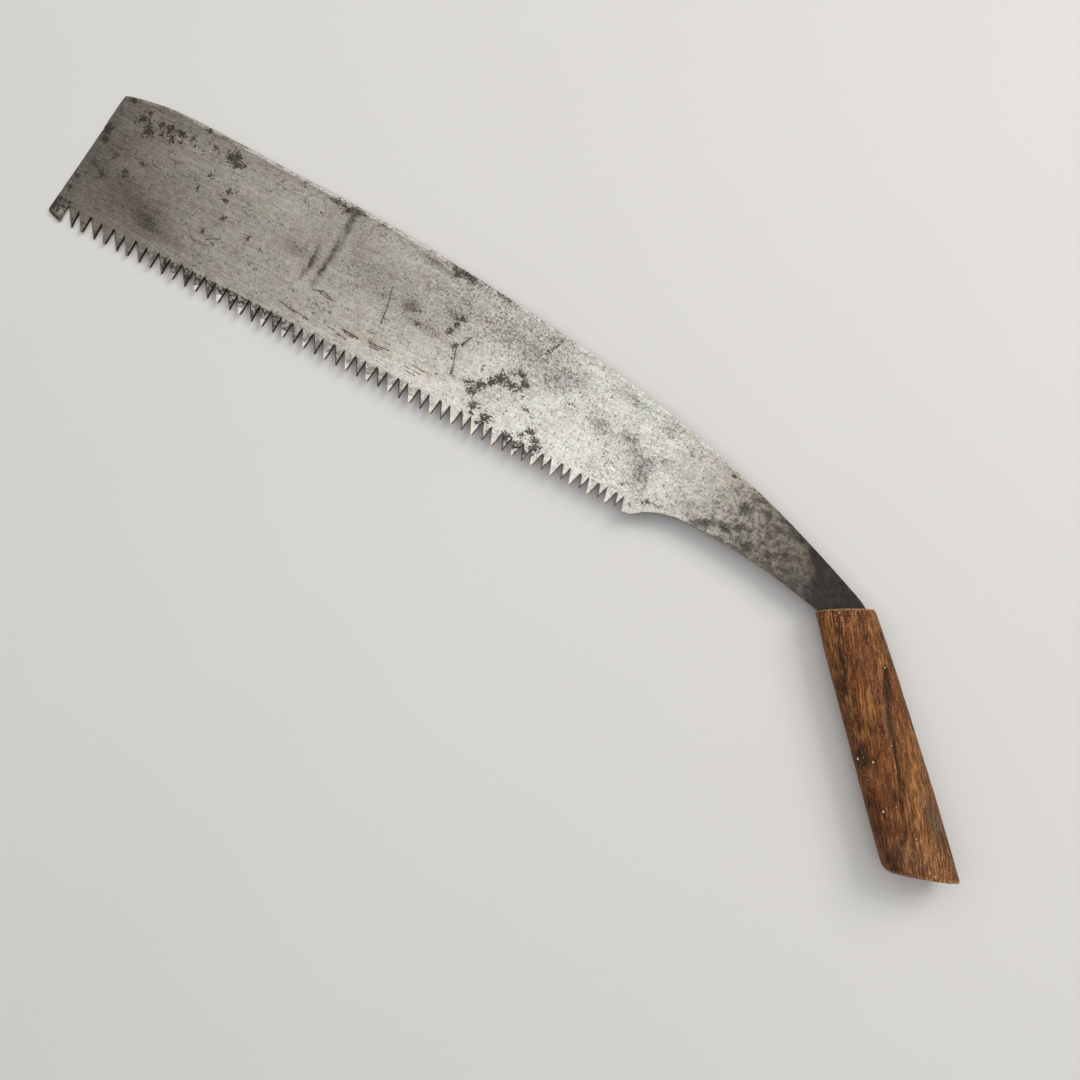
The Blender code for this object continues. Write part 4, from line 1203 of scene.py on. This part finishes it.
class SteelFace(Graph):
    """The plate's two faces. Noises centre on 0.5; `way` is 0 at the toe, 1 at the mouth."""

    def __init__(self):
        super().__init__("forged_steel")
        lower = self.field("under") > 0.5
        self.upper = 1.0 - lower
        side = self.make("ShaderNodeCombineXYZ", {0: lower, 1: lower, 2: lower})
        self.at = self.make("ShaderNodeVectorMath", {
            0: side, 1: LOWER_FACE_SHIFT, 2: self.point()}, operation="MULTIPLY_ADD")
        self.flat = self.at.stretch((1, 1, 0.4))
        self.way, self.tone = self.field("way"), self.field("tone")
        self.rim, self.spine = self.field("rim"), self.field("spine_rim")
        self.deep = self.field("deep")
        self.cloud = self.flat.noise(size=24.0, detail=5, rough=0.55)
        self.mid = self.flat.warp(size=9.0, by=2.0).noise(size=5.0, detail=4, rough=0.62)
        self.grit = self.flat.noise(size=1.7, detail=3, rough=0.70)
        self.fine = self.flat.noise(size=0.95, detail=2, rough=0.65)
        self.brush = self.at.warp(size=60.0, by=2.5).drawn(
            (0.030, 0.85, 1), turn=3, detail=3, rough=0.66)
        self.cross_brush = self.at.warp(size=50.0, by=5.0).drawn(
            (0.050, 0.80, 1), turn=-17, detail=3, rough=0.66)

    def plate_brightness(self):
        way, mid, grit, fine = self.way, self.mid, self.grit, self.fine
        steep_brush = self.at.warp(size=40.0, by=4.0).drawn(
            (0.06, 0.9, 1), turn=48, detail=3, rough=0.64)
        toe_brush = way.fit(0.05, 0.36, to=(2.2, 1.0))
        uneven = ((self.cloud - 0.5) * 0.50 + (mid - 0.5) * 0.80
                  + (grit - 0.5) * way.fit(0.1, 0.5, to=(0.70, 0.95))
                  + (fine - 0.5) * way.fit(0.1, 0.5, to=(0.9, 1.5))
                  + (self.brush - 0.5) * 0.50 * toe_brush
                  + (self.cross_brush - 0.5) * 0.42 * toe_brush + (steep_brush - 0.5) * 0.40)
        # cloudy patches are made of close dark specks over a duller ground
        speckle = (fine * 0.5 + grit * 0.5).fit(0.40, 0.56, to=(
            way.fit(0.2, 0.5, to=(1.10, 1.36)), way.fit(0.2, 0.5, to=(0.86, 0.60))))
        haze = 1.0 - self.field("haze") * 0.90 * speckle
        band = self.field("band") * (grit * 0.4 + mid * 0.6).fit(0.38, 0.60, to=(1.20, 0.72))
        # the tone carries a painted reflection that brightens the plate towards the heel
        value = self.tone * haze * (1.0 + uneven).maximum(0.10) * (1.0 - band * 0.72)
        # the spine's rim is lighter, partly worn bare and partly a painted highlight of light on
        # its rounding, with a duller strip inside it
        patchy = self.at.drawn((0.09, 0.3, 1), turn=0, detail=3, rough=0.6)
        rim_wear_and_highlight = (self.spine * (self.rim + (mid - 0.5) * 5.0).fit(1.7, 2.9, to=(1.0, 0.0))
                  * patchy.fit(0.38, 0.50) * way.fit(0.90, 0.72)
                  * way.fit(0.02, 0.2, to=(0.30, 1.0)))
        value = value * (1.0 - self.spine * self.rim.fit(2.0, 7.0, to=(0.26, 0.0))
                         * self.cloud.fit(0.42, 0.6))
        return (rim_wear_and_highlight * 0.80).blend(value, 0.66 + (fine - 0.5) * 1.4 + (mid - 0.5) * 1.2)

    def tooth_brightness(self, value):
        """Upward-set teeth get pale tips, partly burnished and partly a painted highlight on tips
        tilted to the lamp; downward-set ones get painted shade on their tips, and filed bevels.
        """
        way, deep, upper = self.way, self.deep, self.upper
        odd, toe_side = self.field("odd"), self.field("toe_side")
        set_up, set_down = odd > 0.5, odd < -0.5
        speck = self.grit - 0.5
        worn_at = (deep + (self.mid - 0.5) * 0.5 + toe_side * 0.030
                   + way.fit(0.60, 0.72, to=(0.0, -0.10)))
        # painted highlight, partly burnish: the lower part of the upward-set teeth made pale
        self.burnish_and_highlight = worn_at.fit(0.64, 0.69) * set_up * upper * way.fit(0.12, 0.20)
        value = (self.burnish_and_highlight * 0.80).blend(value, 0.82 + (self.grit - 0.5) * 0.9)
        # painted shade: the tips of the downward-set teeth darkened, as they tilt away from the
        # lamp
        set_down_shade = worn_at.fit(0.52, 0.70) * set_down * upper
        value = (set_down_shade * 0.55).blend(value, self.tone * 0.52 * (1.0 + (self.grit - 0.5) * 2.0))
        self.facet = ((toe_side < FACET) * (deep > 0.03)
                      * (set_down * upper).maximum(set_up * (1.0 - upper)))
        return (self.facet * 0.6).blend(value, self.tone * (0.62 + speck * 1.6))

    def tints(self, colour):
        way, haze = self.way, self.field("haze")
        broad = self.flat.noise(size=17.0, detail=3, rough=0.6)
        colour = broad.fit(0.36, 0.64).mix(colour.multiply(srgb(255, 251, 252)),
                                           colour.multiply(srgb(252, 255, 253)))
        cool = haze.fit(0.05, 0.5) * way.fit(0.35, 0.55) * 0.8
        toe_cool = (way + (self.cloud - 0.5) * -0.06).fit(0.016, 0.034, to=(1.0, 0.0))
        violet = self.field("band").maximum(self.field("haze") * way.fit(0.5, 0.2)) * 0.8
        for share, tint in ((cool, (240, 247, 255)), (toe_cool * self.upper * 0.8, (232, 250, 255)),
                            (violet, (232, 231, 250)), (self.facet * 0.55, (255, 218, 188)),
                            (self.burnish_and_highlight * 0.8, (255, 238, 222))):
            colour = colour.tint(share, srgb(*tint))
        # thin brown film, drawn out along the plate
        self.film_noise = self.flat.warp(size=12.0, by=5.0).noise(size=9.0, detail=5, rough=0.62)
        drawn = self.at.warp(size=14.0, by=3.0).drawn(
            (0.10, 0.62, 1), turn=4, detail=4, rough=0.66)
        self.film = (self.field("film") + (self.film_noise - 0.5) * 0.8
                     + (drawn - 0.5) * 1.0).fit(0.22, 0.80)
        colour = colour.tint(self.film * 0.42, srgb(232, 196, 160))
        thread = drawn.fit(0.60, 0.72) * self.field("film").fit(0.18, 0.5) * 0.60
        return colour.tint(thread, srgb(196, 146, 104))

    def stains(self, colour):
        """Half-dark stains with bright specks over them."""
        flat = self.flat
        self.chew = ((flat.warp(size=2.6, by=1.0).noise(size=1.9, detail=2, rough=0.68) - 0.5) * 2.7
                     + (self.fine - 0.5) * 1.4)
        stain = (self.field("stain") + self.chew * 0.45).fit(0.58, 0.72)
        colour = colour.tint(stain * 0.85, self.grit.fit(0.4, 0.6).mix(
            srgb(142, 140, 140), srgb(186, 184, 183)))
        glints = flat.warp(size=2.0, by=0.5).noise(size=1.9, detail=1, rough=0.5).fit(0.66, 0.72)
        return colour.tint(glints * self.way.fit(0.15, 0.5, to=(0.18, 0.5)), (1.5, 1.5, 1.5, 1.0))

    def pitting(self, colour):
        """Ragged dark specks, some drawn out, some in clumps, and the neck's mottling."""
        flat = self.flat
        dense = (self.field("pits") + (flat.noise(size=13.0, detail=4, rough=0.62) - 0.5) * 2.4
                 + self.field("haze").maximum(0.0) * 0.55)
        ragged = flat.warp(size=2.2, by=0.7).noise(size=2.1, detail=2, rough=0.6)
        dashes = self.at.warp(size=3.0, by=0.8).drawn(
            (0.27, 0.62, 1), turn=-12, detail=2, rough=0.6)
        clumps = flat.warp(size=5.0, by=2.6).noise(size=4.4, detail=4, rough=0.72)
        small = (ragged + dense * 0.125).fit(0.665, 0.70)
        long = (dashes + dense * 0.10).fit(0.68, 0.715)
        large = (clumps + dense * 0.09).fit(0.685, 0.705)
        self.pits = (small.maximum(long * 0.8).maximum(large)
                     * self.deep.fit(0.45, 0.62, to=(1.0, 0.35)))
        colour = colour.cover(self.pits * self.way.fit(0.1, 0.5, to=(0.60, 0.46)),
                              srgb(56, 51, 46))
        blotch = flat.warp(size=5.0, by=2.4).noise(size=4.2, detail=6, rough=0.70)
        mottle = (blotch + self.field("mottle") * 0.20).fit(0.56, 0.72)
        self.mottle = mottle * self.field("mottle").fit(0.02, 0.5)
        return colour.cover(self.mottle * 0.62, srgb(70, 65, 60))

    def grime(self, colour):
        """Dirt packed between and above the teeth, and the dark gouges."""
        clots = self.flat.warp(size=3.0, by=1.2).noise(size=3.0, detail=4, rough=0.7)
        soil = self.field("grime") * (clots * 0.75 + self.grit * 0.25).fit(0.465, 0.515)
        colour = colour.cover(soil * 0.90 * (1.0 - self.burnish_and_highlight * 0.9), srgb(34, 29, 32))
        broken = self.at.stretch((0.35, 1, 1)).noise(size=1.2, detail=3, rough=0.6)
        self.gouge = (self.field("gouge").fit(0.15, 0.75)
                      * broken.fit(0.36, 0.50, to=(0.25, 1.0)))
        return colour.cover(self.gouge * 0.92, self.way.fit(0.1, 0.3).mix(
            srgb(66, 60, 55), srgb(70, 50, 38)))

    def rusting(self, colour):
        """Rust patches, broken up along their edges."""
        way, grit = self.way, self.grit
        self.rust = (self.field("rust") + self.chew
                     + way.fit(0.12, 0.30, to=(0.14, 0.02))).fit(0.66, 0.72)
        body = (grit * 0.5 + self.fine * 0.5).fit(0.40, 0.58).mix(
            srgb(32, 29, 27), srgb(80, 75, 71))
        body = body.cover(self.film_noise.fit(0.46, 0.60) * 0.30, srgb(78, 60, 48))
        body = body.tint(way.fit(0.10, 0.28, to=(0.75, 0.0)), srgb(186, 176, 160))
        brown = self.field("film").fit(0.26, 0.40) * self.spine
        body = body.cover(brown * 0.75, grit.fit(0.4, 0.6).mix(
            srgb(62, 44, 36), srgb(104, 76, 60)))
        halo = (self.field("rust") + self.chew * 0.8).fit(0.30, 0.64)
        colour = colour.tint(halo * 0.22, srgb(150, 140, 132))
        return colour.cover(self.rust * 0.94, body)

    def scaling(self, colour):
        """Forge scale on the neck."""
        ragged = self.flat.warp(size=3.0, by=1.2).noise(size=3.4, detail=5, rough=0.68)
        self.scale = (self.field("scale") + (ragged - 0.5) * 1.5).fit(0.20, 0.92)
        body = self.mid.fit(0.35, 0.7).mix(srgb(37, 31, 30), srgb(51, 44, 42))
        body = body.cover(self.film_noise.fit(0.54, 0.7) * 0.35, srgb(84, 72, 64))
        return colour.cover(self.scale * 0.94, body)

    def rims(self, colour):
        """Painted shade along the heel side of each tooth, widening the dark slit there; the other
        rims are worn bare.
        """
        way = self.way
        # painted shade: a near black strip on the upper face along each tooth's heel side
        self.heel_edge_shade = (self.field("heel_side").fit(0.32, 0.62, to=(1.0, 0.0)) * (self.deep > 0.0)
                       * self.upper * way.fit(0.10, 0.30, to=(0.35, 0.85))
                       * way.fit(0.30, 0.62, to=(1.0, 0.5)))
        colour = colour.cover(self.heel_edge_shade * 0.85, srgb(30, 23, 19))
        bare = (self.rim.fit(0.0, 0.6, to=(1.0, 0.0)) * self.mid.fit(0.42, 0.58)
                * (1.0 - self.spine) * (1.0 - self.heel_edge_shade))
        return colour.cover(bare * 0.40, srgb(176, 166, 150))

    def build(self):
        colour = self.ramp(self.tooth_brightness(self.plate_brightness()), STEEL_STOPS)
        for layer in (self.tints, self.stains, self.pitting, self.grime, self.rusting,
                      self.scaling, self.rims):
            colour = layer(colour)
        grit, pits, rust, scale = self.grit, self.pits, self.rust, self.scale
        # the painted heel-side shade also lowers the metal and raises the roughness here
        dirt_and_shade = rust.maximum(pits * 0.8).maximum((self.mottle * 0.5).maximum(self.heel_edge_shade))
        rough = (0.47 + (grit - 0.5) * 0.30 + (self.cloud - 0.5) * 0.18 + dirt_and_shade * 0.30
                 + scale * 0.10 + self.film * 0.08)
        rough = (self.burnish_and_highlight * 0.7).blend(rough, 0.30)
        height = (self.brush * 0.35 + self.cross_brush * 0.25 + grit * 0.45 + self.fine * 0.20
                  + pits * -0.85 + rust * 0.55 + rust * self.fine * 1.2 + scale * 0.35
                  + self.gouge * -0.9 + self.mid * 0.30)
        return self.finish(colour, rough.maximum(0.24), specular=0.3,
                           metal=(0.62 - dirt_and_shade * 0.55) * (1.0 - scale * 0.5),
                           normal=height.bump(distance=0.10, strength=0.7))


def steel_edge_material():
    """The plate's narrow sides: filed, and near black between the teeth as painted shade of walls
    turned from the light over a shaded floor; lighter elsewhere.
    """
    graph = Graph("forged_steel_edge")
    point = graph.point()
    grit = point.noise(size=0.9, detail=4, rough=0.65)
    broad = point.warp(size=4.0, by=1.0).noise(size=3.2, detail=4, rough=0.6)
    filed = point.drawn((0.6, 0.6, 3.4), turn=0, detail=3, rough=0.6)
    deep = graph.field("deep")
    in_teeth = deep.fit(-0.5, 0.02)
    base = (broad * 0.6 + grit * 0.4).fit(0.36, 0.66).mix(srgb(78, 68, 59), srgb(158, 148, 136))
    # painted shade: the walls between the teeth made near black
    gap = (grit * 0.5 + filed * 0.5).fit(0.38, 0.64).mix(srgb(20, 14, 11), srgb(50, 39, 32))
    colour = in_teeth.mix(base, gap)
    tip = deep.fit(0.90, 0.98) * graph.field("odd").fit(-1.0, 1.0, to=(0.2, 1.0))
    colour = colour.cover(tip, srgb(190, 178, 164))
    colour = colour.cover(graph.field("scale").fit(0.3, 0.7) * 0.85, srgb(60, 56, 54))
    height = grit * 0.6 + filed * 0.6 + broad * 0.4
    return graph.finish(colour, 0.56 + (grit - 0.5) * 0.3, specular=in_teeth.blend(0.4, 0.12),
                        metal=in_teeth.blend(0.6, 0.1),
                        normal=height.bump(distance=0.12, strength=0.7))


# ------------------------------------------------------------------ wood
def fleck_masks(graph, point, grit):
    """Small pale flecks, and the dark surrounds of them."""
    shaken = point.warp(size=1.1, by=0.35)
    spots = rims = None
    for along, across, radius in FLECKS.tolist():
        x, y = from_handle(along, across).tolist()
        away = graph.make("ShaderNodeVectorMath", {0: shaken, 1: (x, y, surface_z(along, across))},
                          "Value", operation="DISTANCE") + (grit - 0.5) * (2.2 * radius)
        spot = away.fit(0.6 * radius, 1.15 * radius, to=(1.0, 0.0))
        rim = away.fit(1.2 * radius, 3.4 * radius, to=(1.0, 0.0))
        spots = spots.maximum(spot) if spots else spot
        rims = rims.maximum(rim) if rims else rim
    return spots, rims


def handle_material():
    graph = Graph("weathered_hardwood")
    field = graph.field
    point = graph.point()
    along = point.stretch(turn=-HANDLE_ANGLE - GRAIN_TURN)     # x now runs with the grain
    bent = along.warp(size=30.0, by=1.8).warp(size=7.0, by=0.6)
    broad = bent.grain(length=48, width=6.0, detail=4, rough=0.58)
    band = bent.grain(length=20, width=2.3, detail=4, rough=0.64)
    fibre = bent.grain(length=15, width=1.5, detail=3, rough=0.66)
    hair = bent.grain(length=9, width=0.85, detail=2, rough=0.62)
    cloud = along.noise(size=13.0, detail=4, rough=0.58)
    grit = along.noise(size=1.3, detail=3, rough=0.70)
    # growth rings about a pith outside the handle
    _, y, z = bent.separate()
    away = graph.math("SQRT", (y + 34.0) * (y + 34.0) + (z + 46.0) * (z + 46.0))
    rings = graph.math("SINE", (away + broad * 6.0) * (2 * math.pi / 3.3)).fit(-0.2, 1.0)

    tone = ((broad - 0.5) * 0.70 + (band - 0.5) * 0.40 + (fibre - 0.5) * 0.46
            + (hair - 0.5) * 0.90 + (cloud - 0.5) * 0.60 + (grit - 0.5) * 0.74
            + rings * -0.06 + 0.52)
    # painted shade: the inner side of the upper face made darker
    tone = tone - field("shade").fit(0.0, 1.0, to=(0.0, 0.08), kind="LINEAR")
    colour = graph.ramp(tone, (
        (0.00, srgb(30, 16, 9)), (0.22, srgb(62, 35, 20)), (0.42, srgb(97, 59, 35)),
        (0.60, srgb(128, 82, 50)), (0.78, srgb(160, 110, 70)), (1.00, srgb(206, 160, 114))))
    dark_fibre = (fibre * 0.6 + hair * 0.4).fit(0.36, 0.45, to=(1.0, 0.0))
    colour = colour.cover(dark_fibre * 0.34, srgb(44, 25, 15))

    # patches of other colours
    olive = field("olive") * band.fit(0.34, 0.60)
    colour = colour.tint(olive * 0.45, srgb(250, 236, 160))
    red = field("red") * cloud.fit(0.30, 0.60)
    colour = colour.cover(red * 0.55, band.fit(0.3, 0.7).mix(srgb(92, 50, 32), srgb(128, 78, 54)))
    # pale patches: worn wood and, on the spine's side, a painted highlight
    tan_and_highlight = field("tan_and_highlight") * (fibre * 0.4 + band * 0.4 + hair * 0.2).fit(0.38, 0.58)
    colour = colour.cover(tan_and_highlight * 0.60, hair.fit(0.40, 0.6).mix(
        srgb(156, 106, 60), srgb(200, 150, 96)))
    grey = field("grey") * (fibre * 0.5 + cloud * 0.5).fit(0.34, 0.58)
    colour = colour.cover(grey * 0.78, fibre.fit(0.38, 0.6).mix(
        srgb(62, 60, 56), srgb(106, 98, 88)))

    # pores: short dark dashes along the grain
    cells = graph.node("ShaderNodeTexVoronoi", {
        "Vector": bent.stretch((1 / 8.0, 1 / 1.2, 1 / 1.2)), "Scale": 1.0})
    pick = Signal(graph, cells.outputs["Color"]).separate()[0]
    pore = pick.fit(0.50, 0.62) * Signal(graph, cells.outputs["Distance"]).fit(
        0.16, 0.38, to=(1.0, 0.0))
    colour = colour.cover(pore * 0.40, srgb(34, 20, 13))
    streaks = (field("dark") + (fibre - 0.5) * 0.9 + (band - 0.5) * 0.6
               + (grit - 0.5) * 0.8).fit(0.38, 0.66)
    colour = colour.cover(streaks * 0.84, (grit * 0.5 + hair * 0.5).fit(0.4, 0.6).mix(
        srgb(32, 23, 18), srgb(70, 54, 44)))

    # ends: raw, dirty, cross-grain
    ends = field("ends")
    colour = colour.cover(ends * 0.85, graph.ramp(rings * 0.35 + grit * 0.4 + cloud * 0.4, (
        (0.25, srgb(58, 36, 24)), (0.5, srgb(98, 66, 44)), (0.8, srgb(140, 102, 70)))))
    # worn rims, frayed fibres near the ends, and pale fibres everywhere
    worn = field("worn") * (grit * 0.6 + fibre * 0.4).fit(0.42, 0.55)
    colour = colour.cover(worn * 0.85, srgb(206, 168, 128))
    frayed = (field("butt_near").maximum(field("mouth_near"))
              * (hair * 0.6 + grit * 0.4).fit(0.54, 0.60))
    colour = colour.cover(frayed * 0.75, srgb(204, 164, 124))
    pale = (hair * 0.55 + fibre * 0.45).fit(0.56, 0.64) * 0.28
    colour = colour.cover(pale, srgb(190, 146, 104))

    specks, rims = fleck_masks(graph, point, grit)
    upper = point.separate()[2].fit(0.0, 2.0)
    colour = colour.cover(rims * upper * 0.45, srgb(36, 24, 17))
    colour = colour.cover(specks * upper * 0.95, srgb(232, 212, 188))
    colour = colour.tint(1.0 - specks * upper, srgb(255, 249, 232))
    rough = (0.68 + (fibre - 0.5) * 0.3 + (cloud - 0.5) * 0.2 + ends * 0.12 + streaks * 0.06)
    height = (fibre * 0.75 + band * 0.40 + hair * 0.45 + pore * -0.9 + grit * 0.30
              + streaks * -0.5 + specks * upper * -0.3)
    return graph.finish(colour, rough, specular=0.16,
                        normal=height.bump(distance=0.30, strength=0.85))


def wedge_material():
    graph = Graph("split_wood")
    along = graph.point().stretch(turn=-HANDLE_ANGLE)
    band = along.grain(length=22, width=1.3, detail=4, rough=0.6)
    fibre = along.grain(length=8, width=0.45, detail=3, rough=0.6)
    grit = along.noise(size=0.7, detail=3, rough=0.6)
    tone = band * 0.5 + fibre * 0.4 + grit * 0.15
    colour = graph.ramp(tone.fit(0.36, 0.68, kind="LINEAR"), (
        (0.0, srgb(84, 56, 34)), (0.45, srgb(140, 101, 66)), (0.8, srgb(178, 138, 96)),
        (1.0, srgb(204, 168, 126))))
    colour = colour.cover(grit.fit(0.55, 0.7) * 0.3, srgb(70, 48, 32))
    height = fibre * 0.8 + band * 0.4 + grit * 0.2
    return graph.finish(colour, 0.66 + (fibre - 0.5) * 0.25, specular=0.3,
                        normal=height.bump(distance=0.15, strength=0.7))


# ------------------------------------------------------------------ pieces
blade = build_blade([SteelFace().build(), steel_edge_material()])
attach(blade, "root")
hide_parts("blade")

handle = build_handle(handle_material())
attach(handle, "root")
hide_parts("handle")

wedge = frame["nodes"]["tang_wedge"]
wood = wedge_material()
if wedge.data.materials:
    for k in range(len(wedge.data.materials)):
        wedge.data.materials[k] = wood
else:
    wedge.data.materials.append(wood)


# ------------------------------------------------------------------ stage
# The saw rests on its tip end and on the handle, so the floor slopes a little under it:
# a point of the floor, its rise along x and y, its centre and half its side.
FLOOR_AT, FLOOR_RISE_X, FLOOR_RISE_Y = (-649.5, -9.5, -1.62), -0.02395, 0.001395
FLOOR_CENTRE, FLOOR_REACH = (-256.0, -17.0), 9000.0


def place_point(x, y, z):
    """A design point in the frame's metres."""
    return (Vector((x, y, z)) + Vector(ORIGIN)) * MM


def make_floor():
    graph = Graph("pale_floor")
    soft = graph.object_point().stretch((3, 3, 3)).noise(size=1.0, detail=3, rough=0.5)
    colour = soft.mix((0.70, 0.69, 0.675, 1.0), (0.735, 0.725, 0.71, 1.0))
    graph.finish(colour, 0.62, specular=0.25)
    corners = []
    for side_x, side_y in ((-1, -1), (1, -1), (1, 1), (-1, 1)):
        x = FLOOR_CENTRE[0] + side_x * FLOOR_REACH
        y = FLOOR_CENTRE[1] + side_y * FLOOR_REACH
        z = FLOOR_AT[2] + FLOOR_RISE_X * (x - FLOOR_AT[0]) + FLOOR_RISE_Y * (y - FLOOR_AT[1])
        corners.append(tuple(place_point(x, y, z)))
    mesh = bpy.data.meshes.new("floor")
    mesh.from_pydata(corners, [], [(0, 1, 2, 3)])
    mesh.materials.append(graph.material)
    obj = bpy.data.objects.new("floor", mesh)
    bpy.context.scene.collection.objects.link(obj)


def area_light(name, at, target, size, power, colour):
    data = bpy.data.lights.new(name, "AREA")
    data.shape = "RECTANGLE"
    data.size, data.size_y = size
    data.energy = power
    data.color = colour
    obj = bpy.data.objects.new(name, data)
    bpy.context.scene.collection.objects.link(obj)
    obj.location = at
    obj.rotation_euler = (target - at).to_track_quat("-Z", "Y").to_euler()
    obj.visible_camera = False


make_floor()
centre = Vector([0.5 * (a + b) for a, b in zip(*CAD_BOX)])
area_light("key", at=centre + Vector((1.0, 1.5, 1.7)), target=centre, size=(1.2, 1.2),
           power=26.0, colour=(1.0, 0.97, 0.93))
area_light("overhead", at=centre + Vector((-0.5, 0.3, 2.6)),
           target=centre + Vector((-0.5, 0.3, 0)), size=(5.0, 3.6), power=58.0,
           colour=(1.0, 0.99, 0.975))

scene = bpy.context.scene
scene.world = bpy.data.worlds.new("studio")
scene.world.use_nodes = True
backdrop = scene.world.node_tree.nodes.get("Background")
backdrop.inputs["Color"].default_value = (0.82, 0.83, 0.85, 1.0)
backdrop.inputs["Strength"].default_value = 0.30

# the camera looks down on the saw, from beside the handle
camera_data = bpy.data.cameras.new("camera")
camera_data.sensor_width = 36.0
camera_data.lens = 39.1083333
camera_data.clip_start, camera_data.clip_end = 0.01, 50.0
camera = bpy.data.objects.new("camera", camera_data)
scene.collection.objects.link(camera)
right = Vector((0.86967, 0.48116, -0.11026))
down = Vector((0.46496, -0.87348, -0.14440))
ahead = Vector((-0.16579, 0.07431, -0.98336))
pose = Matrix((right, -down, -ahead)).transposed().to_4x4()
pose.translation = place_point(-69.755, -113.986, 788.013)
camera.matrix_world = pose
scene.camera = camera
scene.view_settings.view_transform = "Standard"
scene.view_settings.look = "None"

bpy.context.view_layer.update()
